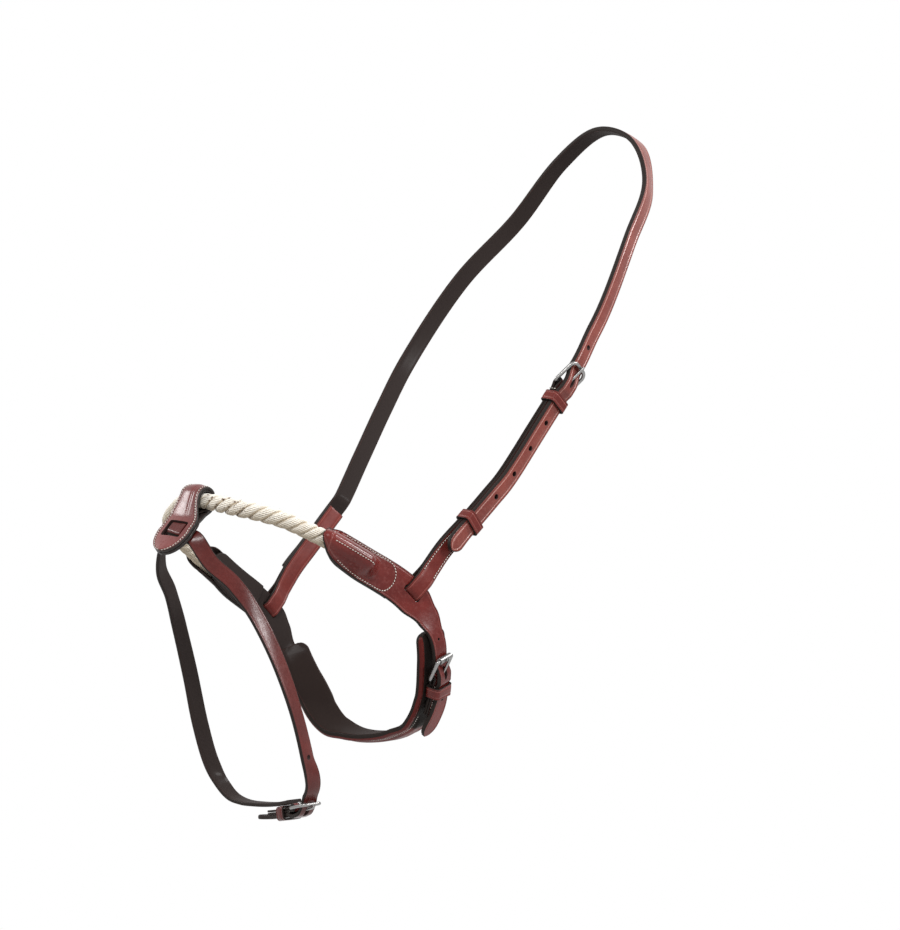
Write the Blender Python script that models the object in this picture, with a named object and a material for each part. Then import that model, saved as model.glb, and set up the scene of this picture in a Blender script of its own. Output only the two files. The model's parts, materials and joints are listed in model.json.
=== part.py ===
"""Rope noseband with a flash strap and its headpiece, made of separate leather, rope and metal pieces.

Frame: the origin is under the middle of the head strap, where it lies over the poll. +X is the
horse's left (the near side), -Y is the way the horse faces, and +Z is up.

Every strap is cut and punched flat, in its own coordinates (along, across, out), and is then laid
along a route. Straps that lie on each other share one route, so they keep their gap on every bend.
"""

import math
from dataclasses import dataclass

import bmesh
import bpy
from mathutils import Matrix, Vector

MM = 0.001

# Gaps and running clearances
GAP = 0.3 * MM
PLAY = 0.5 * MM
SIDE_PLAY = 0.5 * MM
HOLE_PLAY = 1.2 * MM

# Rope over the nose
ROPE_DIAMETER = 11.6 * MM
ROPE_GROOVE = 1.1 * MM
ROPE_STRANDS = 3
ROPE_TURN_LENGTH = 36.0 * MM
ROPE_SQUEEZE = 0.6 * MM
ROPE_BEND = 0.5 * MM
ROPE_SQUEEZE_FADE = 6.0 * MM

# Cheek pieces, which cover the rope ends, and their linings
LINING_THICKNESS = 2.0 * MM
CHEEK_THICKNESS = 3.0 * MM
CHEEK_HALF_WIDTH = 12.2 * MM
COVER_MOUTH_HALF_WIDTH = 8.2 * MM
COVER_START = 88.0 * MM
COVER_FULL_WIDTH_AT = 104.0 * MM
ROPE_END = 127.0 * MM
COVER_SLOPE = 9.0 * MM
COVER_ROUNDING = 7.0 * MM
BULGE_ROOM = 3.4 * MM
BULGE_EDGE = 0.4 * MM
LINING_INSET = 0.5 * MM
LINING_END = 150.0 * MM
SLOT_AT = 164.0 * MM
SLOT_EDGE_STRIP = 7.8 * MM
SLOT_DEPTH = 6.2 * MM
SLOT_SIDE_PLAY = 1.2 * MM
SLOT_TO_RISE = 10.0 * MM
BILLET_WIDTH = 13.0 * MM
BILLET_START = 194.0 * MM
BILLET_TAIL = 39.0 * MM
BILLET_HOLE_PITCH = 20.0 * MM
BILLET_HOLE_DIAMETER = 3.0 * MM
BILLET_HOLES_FROM = 5.0 * MM
OFF_CHEEK_END = 214.0 * MM

# Chin strap, its buckle end and keeper
CHIN_WIDTH = 25.0 * MM
CHIN_THICKNESS = 5.0 * MM
CHIN_RIDGE = 1.8 * MM
CHIN_RIDGE_SLOPE = 8.0 * MM
CHIN_RIDGE_SHARE = 0.42
GUARD_START = 193.0 * MM
CHIN_CORNER = 6.0 * MM
CHIN_BUCKLE_AT = 222.5 * MM
CHIN_CHAPE_LENGTH = 25.0 * MM
CHIN_CHAPE_PLY = 1.8 * MM

# Head strap and hangers
HEAD_WIDTH = 13.0 * MM
HEAD_THICKNESS = 3.8 * MM
HANGER_PLY = 2.1 * MM
HANGER_LENGTH = 187.2 * MM
OFF_HANGER_LENGTH = 99.2 * MM
OFF_HANGER_LAP = 62.0 * MM
HEAD_TAIL = 150.0 * MM
HEAD_TAIL_LIFT = 2.6 * MM
HEAD_HOLE_PITCH = 22.0 * MM
HEAD_HOLES_FROM = 13.0 * MM
HEAD_HOLE_DIAMETER = 3.4 * MM
RUNNER_AT = 119.0 * MM

# Flash loop and flash strap
LOOP_AT = 8.0 * MM
LOOP_PLY = 2.4 * MM
LOOP_LENGTH = 48.5 * MM
LOOP_TOP_HALF_WIDTH = 7.9 * MM
LOOP_HALF_WIDTH = 13.0 * MM
LOOP_FACE = 3.8 * MM
LOOP_LEAN = 3.2 * MM
LOOP_JOIN = 18.5 * MM
TAB_PLY = 1.0 * MM
TAB_WIDTH = 12.5 * MM
TAB_JOIN = 13.5 * MM
TAB_INNER_JOIN = 10.6 * MM
BRIDGE_THICKNESS = 1.5 * MM
BRIDGE_WIDTH = 7.0 * MM
BRIDGE_RISE = 1.8 * MM
BRIDGE_LAP = 4.6 * MM
BRIDGE_BEND = 1.6 * MM
WINDOW_WIDTH = 16.0 * MM
WINDOW_PLAY = 1.0 * MM
WINDOW_DROP = 0.6 * MM
FLASH_DROP = 29.0 * MM
FLASH_WIDTH = 11.4 * MM
FLASH_THICKNESS = 2.8 * MM
FLASH_RISE = 4.8 * MM
FLASH_SAG = 0.8 * MM
FLASH_BUCKLE_AT = 212.0 * MM
FLASH_CHAPE_PLY = 1.4 * MM
FLASH_CHAPE_LENGTH = 30.0 * MM
FLASH_TAIL = 44.0 * MM
FLASH_HOLE_PITCH = 16.0 * MM
FLASH_HOLE_DIAMETER = 3.0 * MM

# Buckles and keepers
WIRE = 2.6 * MM
FLASH_WIRE = 2.2 * MM
TONGUE_WIRE = 2.1 * MM
BUCKLE_LENGTH = 17.0 * MM
CHIN_BUCKLE_LENGTH = 14.5 * MM
FLASH_BUCKLE_LENGTH = 15.0 * MM
ROLLER_WALL = 0.6 * MM
HEAD_LIFT = 3.2 * MM
CHIN_LIFT = 3.6 * MM
FLASH_LIFT = 4.0 * MM
KEEPER_WALL = 1.4 * MM
KEEPER_LENGTH = 8.0 * MM
KEEPER_SETBACK = 8.0 * MM
TONGUE_OVERHANG = 0.8 * MM
TONGUE_DIP = 0.5 * MM
CHIN_KEEPER_SETBACK = 5.5 * MM

# How finely the straps are divided along their routes
LONG_STEP = 8.0 * MM
STEP = 5.0 * MM
FINE_STEP = 2.5 * MM
ROPE_STEP = 5.0 * MM
ROPE_SIDES = 12

# How far each hanger leans in its slot at rest, and how far the noseband swings each way from there
HANGER_LEAN = math.radians(4.0)
NOSEBAND_SWING = math.radians(4.0)

# The inner face of the noseband from the middle of the nose to the middle of the jaw, near side:
# points in millimetres, each with the way the strap faces there
RING_STATIONS = [
    ((0, -364, -313), (0, -0.77, 0.64)),
    ((18, -360, -316), (0.25, -0.76, 0.6)),
    ((35, -353, -320), (0.55, -0.7, 0.45)),
    ((51, -338, -325), (0.88, -0.42, 0.25)),
    ((60, -318, -333), (1, -0.15, 0.05)),
    ((70, -284, -350), (1, -0.06, -0.02)),
    ((75, -251, -367), (0.985, -0.16, -0.04)),
    ((75.5, -234.5, -383), (1, -0.06, -0.03)),
    ((73, -228, -397), (1, 0.15, -0.15)),
    ((68.5, -225, -409.5), (1, 0.3, -0.25)),
    ((62.5, -221, -422), (1, 0.35, -0.3)),
    ((59.3, -219, -428.8), (1, 0.35, -0.35)),
    ((55.5, -217.5, -436), (1, 0.3, -0.5)),
    ((45, -215, -446.5), (0.7, 0.25, -0.7)),
    ((25, -212, -453), (0.2, 0.15, -1)),
    ((0, -211, -455), (0, 0.15, -1)),
]
# Where the near billet leaves the jaw behind its keeper and hangs free
BILLET_STATIONS = [
    ((46.5, -219.5, -450), (1, 0.3, -0.5)),
    ((33, -229, -466), (1, 0.3, -0.5)),
]
BILLET_LEAVES_RING_AFTER = 13

# The middle of the head strap's near half, from the poll down to the noseband's slot
POLL_FACING = (0, 0.1, 1)
HEAD_STATIONS = [
    ((42, -2.5, -15), (0.45, 0.3, 1)),
    ((72, -20, -57), (1, 0.6, 0.4)),
    ((93, -58, -105), (1, 0.35, 0.1)),
    ((105.5, -100, -170), (1, 0.28, 0)),
    ((102.5, -125.5, -209), (1, 0.28, 0)),
    ((96.5, -151.5, -249), (1, 0.28, 0)),
    ((90.3, -177, -287.5), (1, 0.28, 0)),
    ((88.6, -188.2, -300), (1, 0.28, 0)),
    ((86.3, -205.4, -318.4), (1, 0.28, 0)),
    ((83.6, -222.9, -336.8), (1, 0.08, -0.02)),
]

# The inner face of the flash strap's near half below the loop
FLASH_STATIONS = [
    ((27, -373, -352), (0.85, -0.5, 0.2)),
    ((35, -360, -366), (0.92, -0.35, 0.2)),
    ((43, -347, -388), (1, -0.05, 0.1)),
    ((49.5, -333, -420), (1, 0.12, 0.03)),
    ((53, -322.5, -451), (1, 0.28, 0)),
    ((52, -313.5, -477), (1, 0.3, -0.15)),
    ((48, -307.5, -490), (0.9, 0.1, -0.5)),
    ((40, -304.5, -498.5), (0.6, 0.1, -0.8)),
    ((28, -303, -502.5), (0.2, 0.1, -1)),
    ((14, -301.5, -504), (0.05, 0.1, -1)),
    ((0, -300.5, -504.5), (0, 0.1, -1)),
]

LEATHER_RED = (0.235, 0.062, 0.05, 1.0)
LEATHER_LIGHT = (0.36, 0.13, 0.095, 1.0)
LEATHER_PALE = (0.42, 0.25, 0.24, 1.0)
LEATHER_DARK = (0.05, 0.035, 0.03, 1.0)
ROPE_CREAM = (0.78, 0.72, 0.58, 1.0)
STEEL = (0.62, 0.62, 0.62, 1.0)


@dataclass(frozen=True)
class Frame:
    """A place on a route and the three directions of a strap that lies there."""

    at: Vector
    along: Vector
    across: Vector
    out: Vector

    def matrix(self):
        """Turn the strap's coordinates (along, across, out) at this place into the world's."""
        axes = Matrix((self.along, self.across, self.out)).transposed().to_4x4()
        return Matrix.Translation(self.at) @ axes


class Route:
    """A smooth line through hand-placed stations, with the way a strap on it faces."""

    SAMPLES_A_SPAN = 24

    def __init__(self, stations, closed=False, zero=0):
        """Measure lengths along the line from the station number given as zero."""
        points = [Vector(point) for point, _ in stations]
        facings = [Vector(facing).normalized() for _, facing in stations]
        self.closed = closed
        self.samples = []
        spans = len(points) if closed else len(points) - 1
        for span in range(spans):
            corners = [self._station(points, span + offset) for offset in (-1, 0, 1, 2)]
            start = facings[span]
            end = facings[(span + 1) % len(facings)]
            for step in range(self.SAMPLES_A_SPAN):
                share = step / self.SAMPLES_A_SPAN
                self.samples.append((self._smooth(corners, share), start.lerp(end, ease(share))))
        self.samples.append((points[0], facings[0]) if closed else (points[-1], facings[-1]))
        self.lengths = [0.0]
        for (before, _), (after, _) in zip(self.samples, self.samples[1:]):
            self.lengths.append(self.lengths[-1] + (after - before).length)
        self.total = self.lengths[-1]
        self.start = self.lengths[zero * self.SAMPLES_A_SPAN]
        self.frames = [self._frame(number) for number in range(len(self.samples))]

    def _station(self, points, number):
        """Return a station's point, running on past the ends of an open line."""
        if self.closed:
            return points[number % len(points)]
        if number < 0:
            return points[0] * 2.0 - points[1]
        if number >= len(points):
            return points[-1] * 2.0 - points[-2]
        return points[number]

    @staticmethod
    def _smooth(corners, share):
        """Return a point of the centripetal curve between the two middle corners."""
        knots = [0.0]
        for before, after in zip(corners, corners[1:]):
            knots.append(knots[-1] + math.sqrt((after - before).length))
        at = knots[1] + (knots[2] - knots[1]) * share
        line = corners
        for order in (1, 2, 3):
            low = 1 if order == 3 else 0
            line = [
                Route._between(line[i], line[i + 1], knots, i, order, low, at)
                for i in range(len(line) - 1)
            ]
        return line[0]

    @staticmethod
    def _between(first, second, knots, i, order, low, at):
        """Blend two points of the curve's construction."""
        left = knots[i + low] if order == 3 else knots[i]
        right = knots[i + low + 1] if order == 3 else knots[i + order]
        return first.lerp(second, (at - left) / (right - left))

    def _frame(self, number):
        """Return the frame at one sample."""
        last = len(self.samples) - 1
        before = max(number - 1, 0)
        after = min(number + 1, last)
        if self.closed and number in (0, last):
            before = last - 1
            after = 1
        at, facing = self.samples[number]
        along = (self.samples[after][0] - self.samples[before][0]).normalized()
        out = (facing - along * facing.dot(along)).normalized()
        return Frame(at, along, out.cross(along), out)

    def frame(self, along):
        """Return the frame at a length along the route."""
        length = self.start + along
        if self.closed:
            length %= self.total
        length = min(max(length, 0.0), self.total)
        low, high = 0, len(self.lengths) - 1
        while high - low > 1:
            middle = (low + high) // 2
            if self.lengths[middle] <= length:
                low = middle
            else:
                high = middle
        share = (length - self.lengths[low]) / (self.lengths[high] - self.lengths[low])
        first, second = self.frames[low], self.frames[high]
        forward = first.along.lerp(second.along, share).normalized()
        out = first.out.lerp(second.out, share)
        out = (out - forward * out.dot(forward)).normalized()
        return Frame(first.at.lerp(second.at, share), forward, out.cross(forward), out)

    def place(self, along, across, out):
        """Return the world point of a strap's point, going straight on past an open end."""
        frame = self.frame(along)
        past = 0.0
        if not self.closed:
            past = max(self.start + along - self.total, 0.0) + min(self.start + along, 0.0)
        return frame.at + frame.along * past + frame.across * across + frame.out * out


def ease(share):
    """Ease a share from 0 to 1."""
    share = min(max(share, 0.0), 1.0)
    return share * share * (3.0 - 2.0 * share)


def eased(stops, at):
    """Read a value that eases from stop to stop, each stop a place and a value."""
    if at <= stops[0][0]:
        return stops[0][1]
    for (start, low), (end, high) in zip(stops, stops[1:]):
        if at <= end:
            return low + (high - low) * ease((at - start) / (end - start))
    return stops[-1][1]


def metres(stations):
    """Turn stations in millimetres into metres."""
    return [(Vector(point) * MM, Vector(facing)) for point, facing in stations]


def mirrored(stations):
    """Return the stations of the other side of the horse, in the opposite order."""
    flip = Vector((-1, 1, 1))
    return [(point * flip, facing * flip) for point, facing in reversed(stations)]


def spread(start, end, step):
    """Return even places from start to end, no further apart than about a step."""
    count = max(1, round((end - start) / step))
    return [start + (end - start) * number / count for number in range(count + 1)]


# Routes

RING_NEAR = metres(RING_STATIONS)
RING = Route(RING_NEAR + mirrored(RING_NEAR[1:-1]), closed=True)
NEAR_CHEEK_ROUTE = Route(RING_NEAR[:BILLET_LEAVES_RING_AFTER] + metres(BILLET_STATIONS))
ROPE_HEIGHT = LINING_THICKNESS + GAP + ROPE_DIAMETER / 2
CHEEK_LEVEL = LINING_THICKNESS + GAP
CHEEK_MIDDLE = CHEEK_LEVEL + CHEEK_THICKNESS / 2

# The noseband turns about a line through both slots, just under the strip of leather that each
# hanger is folded round
STRIP_EDGE = CHEEK_HALF_WIDTH - SLOT_EDGE_STRIP
SLOT_FLOOR = STRIP_EDGE - SLOT_DEPTH
PIVOT_ACROSS = STRIP_EDGE
SLOT_FRAME = RING.frame(SLOT_AT)
PIVOT = SLOT_FRAME.at + SLOT_FRAME.across * PIVOT_ACROSS + SLOT_FRAME.out * CHEEK_MIDDLE
HANGER_FOLD_HALF = CHEEK_THICKNESS / 2 + PLAY + HANGER_PLY / 2
HANGER_HALF = HANGER_PLY + GAP / 2
SLOT_STRAIGHT = CHEEK_HALF_WIDTH - PIVOT_ACROSS + 6 * MM
FOLD_FACET = math.radians(30.0)


def fold_drop():
    """Return how far above the strip's lower edge the fold's centre is, so that the strip can swing."""
    clear = (HANGER_FOLD_HALF - HANGER_PLY / 2) * math.cos(FOLD_FACET / 2)
    reach = math.sqrt(clear ** 2 - (CHEEK_THICKNESS / 2) ** 2)
    swing = HEAD_WIDTH / 2 * math.sin(HANGER_LEAN + NOSEBAND_SWING)
    return reach - swing - GAP


def head_route():
    """Return the route of the headpiece from the off slot over the poll to the near slot."""
    up = SLOT_FRAME.across * math.cos(HANGER_LEAN) + SLOT_FRAME.along * math.sin(HANGER_LEAN)
    facing = SLOT_FRAME.out
    slot_end = [(PIVOT + up * rise, facing) for rise in (SLOT_STRAIGHT, 0.0, -SLOT_DEPTH)]
    poll = (Vector((0, 0, HANGER_HALF)), Vector(POLL_FACING))
    near = metres(HEAD_STATIONS) + slot_end
    off = mirrored(near)
    return Route(off + [poll] + near, zero=len(off))


HEAD = head_route()
HEAD_SLOT = HEAD.total / 2 - SLOT_DEPTH
HEAD_BUCKLE_AT = HEAD_SLOT - HANGER_LENGTH

# The loop's own frame: at the rope's centre, along the rope, up the nose and out from it
LOOP_FRAME = RING.frame(LOOP_AT)
LOOP_CENTRE = LOOP_FRAME.at + LOOP_FRAME.out * ROPE_HEIGHT
LOOP_BACK = LOOP_FACE - 2 * LOOP_PLY
TAB_RADIUS = ROPE_DIAMETER / 2 - ROPE_SQUEEZE + GAP + ROPE_BEND
FLASH_LEVEL = LOOP_BACK - 2 * GAP - FLASH_THICKNESS


def loop_place(sideways, down, out):
    """Return the world point of a point in the flash loop's frame."""
    return (
        LOOP_CENTRE
        + LOOP_FRAME.along * sideways
        - LOOP_FRAME.across * down
        + LOOP_FRAME.out * out
    )


def flash_route():
    """Return the closed route of the flash strap, measured from the middle of its loop."""
    side = LOOP_HALF_WIDTH - MM
    places = ((-side, FLASH_SAG), (-side / 2, 0.0), (0.0, 0.0), (side / 2, 0.0), (side, FLASH_SAG))
    front = [
        (loop_place(place, FLASH_DROP, FLASH_LEVEL - sag), LOOP_FRAME.out) for place, sag in places
    ]
    near = metres(FLASH_STATIONS)
    return Route(front + near + mirrored(near[:-1]), closed=True, zero=2)


FLASH = flash_route()


# Building and finishing


def material(name, colour, roughness, metallic=0.0):
    """Return a plain material of one colour."""
    finish = bpy.data.materials.new(name)
    finish.use_nodes = True
    shader = finish.node_tree.nodes["Principled BSDF"]
    shader.inputs["Base Color"].default_value = colour
    shader.inputs["Roughness"].default_value = roughness
    shader.inputs["Metallic"].default_value = metallic
    finish.diffuse_color = colour
    return finish


class Workshop:
    """Makes the pieces, keeps them in the object's collection and hangs them on their joints."""

    def __init__(self):
        """Start with an empty scene and a collection for the object and one for its cutters."""
        for item in list(bpy.data.objects):
            bpy.data.objects.remove(item)
        self.pieces = bpy.data.collections.new("flash_noseband")
        bpy.context.scene.collection.children.link(self.pieces)
        self.cutters = bpy.data.collections.new("cutters")
        bpy.context.scene.collection.children.link(self.cutters)

    def new_object(self, name, data):
        """Link a new object to the object's collection."""
        item = bpy.data.objects.new(name, data)
        self.pieces.objects.link(item)
        return item

    def loft(self, name, sections):
        """Join sections, each a lower and an upper row of flat strap points, into a closed body."""
        body = bmesh.new()
        rows = [
            ([body.verts.new(point) for point in lower], [body.verts.new(point) for point in upper])
            for lower, upper in sections
        ]
        for (low_a, up_a), (low_b, up_b) in zip(rows, rows[1:]):
            if len(low_a) != len(low_b):
                body.faces.new(low_a + low_b[::-1])
                body.faces.new(up_b + up_a[::-1])
            else:
                for i in range(len(low_a) - 1):
                    body.faces.new((low_a[i], low_a[i + 1], low_b[i + 1], low_b[i]))
                    body.faces.new((up_a[i], up_b[i], up_b[i + 1], up_a[i + 1]))
            body.faces.new((low_a[0], low_b[0], up_b[0], up_a[0]))
            body.faces.new((low_a[-1], up_a[-1], up_b[-1], low_b[-1]))
        for low, up in ((rows[0][1], rows[0][0]), rows[-1]):
            for i in range(len(low) - 1):
                body.faces.new((low[i], low[i + 1], up[i + 1], up[i]))
        return self.from_bmesh(name, body)

    def from_bmesh(self, name, body):
        """Turn a bmesh into a new object."""
        mesh = bpy.data.meshes.new(name)
        body.to_mesh(mesh)
        body.free()
        return self.new_object(name, mesh)

    def sheet(self, name, places, columns, low, high):
        """Loft a flat piece of leather from its columns and its lower and upper face."""
        sections = []
        for along in places:
            across = columns(along)
            lower = [(along, side, low(along, side)) for side in across]
            upper = [(along, side, high(along, side)) for side in across]
            sections.append((lower, upper))
        return self.loft(name, sections)

    def ribbon(self, name, line, width, thickness):
        """Loft a strap of one width along a centre line of (along, out) points."""
        sections = []
        last = len(line) - 1
        for number, (along, out) in enumerate(line):
            before = line[max(number - 1, 0)]
            after = line[min(number + 1, last)]
            forward = Vector((after[0] - before[0], after[1] - before[1])).normalized()
            normal = Vector((-forward.y, forward.x)) * thickness / 2
            sections.append((
                [(along - normal.x, side, out - normal.y) for side in (-width / 2, width / 2)],
                [(along + normal.x, side, out + normal.y) for side in (-width / 2, width / 2)],
            ))
        return self.loft(name, sections)

    def plate(self, name, outlines, half_thickness):
        """Cut a flat plate from closed outlines, the first its edge and the others its holes."""
        curve = bpy.data.curves.new(name, "CURVE")
        curve.dimensions = "2D"
        curve.fill_mode = "BOTH"
        curve.extrude = half_thickness
        for outline in outlines:
            spline = curve.splines.new("POLY")
            spline.points.add(len(outline) - 1)
            for point, (x, y) in zip(spline.points, outline):
                point.co = (x, y, 0.0, 1.0)
            spline.use_cyclic_u = True
        return self.meshed(self.new_object(name, curve))

    def meshed(self, item):
        """Replace a curve object by its welded mesh."""
        bpy.context.view_layer.update()
        evaluated = item.evaluated_get(bpy.context.evaluated_depsgraph_get())
        mesh = bpy.data.meshes.new_from_object(evaluated)
        body = bmesh.new()
        body.from_mesh(mesh)
        bmesh.ops.remove_doubles(body, verts=body.verts, dist=0.01 * MM)
        bmesh.ops.recalc_face_normals(body, faces=body.faces)
        body.to_mesh(mesh)
        body.free()
        name = item.name
        matrix = item.matrix_world.copy()
        bpy.data.objects.remove(item)
        result = self.new_object(name, mesh)
        result.matrix_world = matrix
        return result

    def cut(self, item, cutters, operation="DIFFERENCE"):
        """Cut an object with others, which are used up."""
        for cutter in cutters:
            self.pieces.objects.unlink(cutter)
            self.cutters.objects.link(cutter)
            modifier = item.modifiers.new("cut", "BOOLEAN")
            modifier.operation = operation
            modifier.object = cutter
        bpy.context.view_layer.update()
        evaluated = item.evaluated_get(bpy.context.evaluated_depsgraph_get())
        mesh = bpy.data.meshes.new_from_object(evaluated)
        item.modifiers.clear()
        item.data = mesh
        for cutter in cutters:
            bpy.data.objects.remove(cutter)
        return item

    def box(self, low, high, name="cutter"):
        """Return a box between two corners."""
        body = bmesh.new()
        bmesh.ops.create_cube(body, size=1.0)
        size = Vector(high) - Vector(low)
        middle = (Vector(high) + Vector(low)) / 2
        bmesh.ops.transform(
            body, matrix=Matrix.Translation(middle) @ Matrix.Diagonal(size.to_4d()), verts=body.verts
        )
        return self.from_bmesh(name, body)

    def punch(self, along, length, width, low, high, sides=12):
        """Return a round or oval cutter that stands on a flat strap."""
        body = bmesh.new()
        bmesh.ops.create_cone(
            body, cap_ends=True, segments=sides, radius1=0.5, radius2=0.5, depth=1.0
        )
        scale = Matrix.Diagonal((length, width, high - low, 1.0))
        move = Matrix.Translation((along, 0.0, (low + high) / 2))
        bmesh.ops.transform(body, matrix=move @ scale, verts=body.verts)
        return self.from_bmesh("punch", body)

    @staticmethod
    def lay(item, route, flip=False):
        """Bend a flat object along a route, or along its mirror image on the off side."""
        for vertex in item.data.vertices:
            placed = route.place(*vertex.co)
            vertex.co = Vector((-placed.x, placed.y, placed.z)) if flip else placed
        if flip:
            item.data.flip_normals()
        item.data.update()
        return item

    def dress(self, item, finish, parent=None, at=None):
        """Give an object its material, its origin and the joint that it hangs on."""
        item.data.materials.clear()
        item.data.materials.append(finish)
        if at is not None and item.type == "MESH":
            item.data.transform(Matrix.Translation(-at))
            item.location = at
        if item.type == "MESH":
            item.data.shade_smooth()
            item.data.set_sharp_from_angle(angle=math.radians(35))
        if parent is not None:
            bpy.context.view_layer.update()
            item.parent = parent
            item.matrix_parent_inverse = parent.matrix_world.inverted()
        return item

    def joint(self, name, matrix, parent=None):
        """Return an empty that stands on a joint's axis."""
        empty = self.new_object(name, None)
        empty.empty_display_size = 20 * MM
        empty.matrix_world = matrix
        bpy.context.view_layer.update()
        if parent is not None:
            empty.parent = parent
            empty.matrix_parent_inverse = parent.matrix_world.inverted()
            bpy.context.view_layer.update()
        return empty


@dataclass(frozen=True)
class Buckle:
    """A wire buckle held in a strap's fold, and the levels of the straps that meet at it."""

    name: str
    route: Route
    bar_at: float
    bar_out: float
    strap_width: float
    strap_thickness: float
    strap_low: float
    strap_after: float
    ply: float
    wire: float
    length: float
    setback: float
    roller: float = 0.0
    corner: float = 0.45

    @property
    def fold_radius(self):
        """Radius of the fold's middle line round the bar."""
        return self.wire / 2 + GAP + self.ply / 2

    @property
    def fold_top(self):
        """Level of the outer face of the fold or of the tongue's eye, whichever is higher."""
        fold = self.fold_radius + self.ply / 2
        eye = self.wire / 2 + GAP + self.tongue_wire
        return self.bar_out + max(fold, eye)

    @property
    def crossbar_out(self):
        """Level of the crossbar's centre, over the strap that passes under it."""
        return self.strap_low + self.strap_thickness + GAP + self.wire / 2 + self.roller

    @property
    def half_width(self):
        """Half the distance between the centres of the buckle's sides."""
        return self.strap_width / 2 + SIDE_PLAY + self.wire / 2

    @property
    def tongue_wire(self):
        """Thickness of the tongue."""
        return TONGUE_WIRE

    def lift(self, along):
        """Level of the passing strap's inner face, which climbs over the fold behind the bar."""
        step = along - self.bar_at
        over = self.fold_top + 1.5 * GAP
        climb = self.length - self.wire / 2
        fold = self.fold_radius
        return eased(
            [(-climb, self.strap_low), (-fold, over), (fold, over), (self.setback, self.strap_after)],
            step,
        )

    def hole(self, shop, low, high):
        """Return the punch of the long hole that the tongue goes through."""
        start = -(self.length - self.wire / 2 - self.roller) + HOLE_PLAY
        end = self.tongue_wire / 2
        middle = self.bar_at + (start + end) / 2
        return shop.punch(middle, end - start, self.tongue_wire + HOLE_PLAY, low, high)

    def slit(self, shop):
        """Return the cutter of the slit in the fold that the tongue's eye sits in."""
        reach = self.fold_radius + self.ply
        half = self.tongue_wire / 2 + 2 * GAP
        return shop.box(
            (self.bar_at - 2 * reach, -half, self.bar_out - 2 * reach),
            (self.bar_at + self.wire / 2 + self.tongue_wire + 2 * GAP, half, self.bar_out + 2 * reach),
        )

    def tilt(self):
        """Return the buckle's own frame: its bar's centre, tilted so that it meets the crossbar."""
        rise = math.atan2(self.crossbar_out - self.bar_out, self.length)
        place = self.route.frame(self.bar_at).matrix() @ Matrix.Translation((0, 0, self.bar_out))
        return place @ Matrix.Rotation(rise, 4, "Y")

    def frame_outline(self):
        """Return the frame's closed line: square at the bar and rounded at the crossbar."""
        radius = self.corner * self.half_width
        length = math.hypot(self.length, self.crossbar_out - self.bar_out)
        line = []
        corners = (
            (-length + radius, self.half_width - radius, 90, radius),
            (-length + radius, -self.half_width + radius, 180, radius),
            (-self.wire / 2, -self.half_width + self.wire / 2, 270, self.wire / 2),
            (-self.wire / 2, self.half_width - self.wire / 2, 0, self.wire / 2),
        )
        for x, y, start, size in corners:
            for step in range(4):
                angle = math.radians(start + 30 * step)
                line.append((x + size * math.cos(angle), y + size * math.sin(angle), 0.0))
        return line

    def tongue_line(self):
        """Return the tongue's line: an eye round the bar, then straight to the crossbar's top."""
        eye = self.wire / 2 + GAP + self.tongue_wire / 2
        length = math.hypot(self.length, self.crossbar_out - self.bar_out)
        rest = self.wire / 2 + self.roller + GAP + self.tongue_wire / 2
        line = []
        for step in range(9):
            angle = math.radians(-150 + 30 * step)
            line.append((eye * math.cos(angle), 0.0, eye * math.sin(angle)))
        line.append((-length, 0.0, rest))
        tip = length + self.wire / 2 + self.roller + TONGUE_OVERHANG
        line.append((-tip, 0.0, rest - TONGUE_DIP))
        return line

    def wire_object(self, shop, name, line, thickness, closed):
        """Return a round wire along a line in the buckle's frame."""
        curve = bpy.data.curves.new(name, "CURVE")
        curve.dimensions = "3D"
        curve.bevel_depth = thickness / 2
        curve.bevel_resolution = 2
        curve.use_fill_caps = not closed
        spline = curve.splines.new("POLY")
        spline.points.add(len(line) - 1)
        for point, place in zip(spline.points, line):
            point.co = (*place, 1.0)
        spline.use_cyclic_u = closed
        item = shop.new_object(name, curve)
        item.matrix_world = self.tilt()
        return item

    def make(self, shop, steel, parent):
        """Make the frame, the tongue and the roller, if it has one."""
        frame = self.wire_object(shop, f"{self.name}_frame", self.frame_outline(), self.wire, True)
        shop.dress(frame, steel, parent)
        tongue = self.wire_object(
            shop, f"{self.name}_tongue", self.tongue_line(), self.tongue_wire, False
        )
        shop.dress(tongue, steel, parent)
        if self.roller:
            self.make_roller(shop, steel, parent)

    def make_roller(self, shop, steel, parent):
        """Make the tube that turns on the crossbar."""
        length = math.hypot(self.length, self.crossbar_out - self.bar_out)
        half = self.half_width * (1.0 - self.corner) - GAP
        inner = self.wire / 2 + self.roller - ROLLER_WALL
        profile = [(inner, -half), (inner + ROLLER_WALL, -half), (inner + ROLLER_WALL, half), (inner, half)]
        body = bmesh.new()
        ring = [body.verts.new((radius, side, 0.0)) for radius, side in profile]
        for number in range(4):
            body.edges.new((ring[number], ring[(number + 1) % 4]))
        bmesh.ops.spin(
            body, geom=body.verts[:] + body.edges[:], cent=(0, 0, 0), axis=(0, 1, 0),
            angle=math.tau, steps=16, use_merge=True,
        )
        bmesh.ops.remove_doubles(body, verts=body.verts, dist=0.001 * MM)
        bmesh.ops.recalc_face_normals(body, faces=body.faces)
        roller = shop.from_bmesh(f"{self.name}_roller", body)
        roller.matrix_world = self.tilt() @ Matrix.Translation((-length, 0, 0))
        shop.dress(roller, steel, parent)


# Buckles

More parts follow.
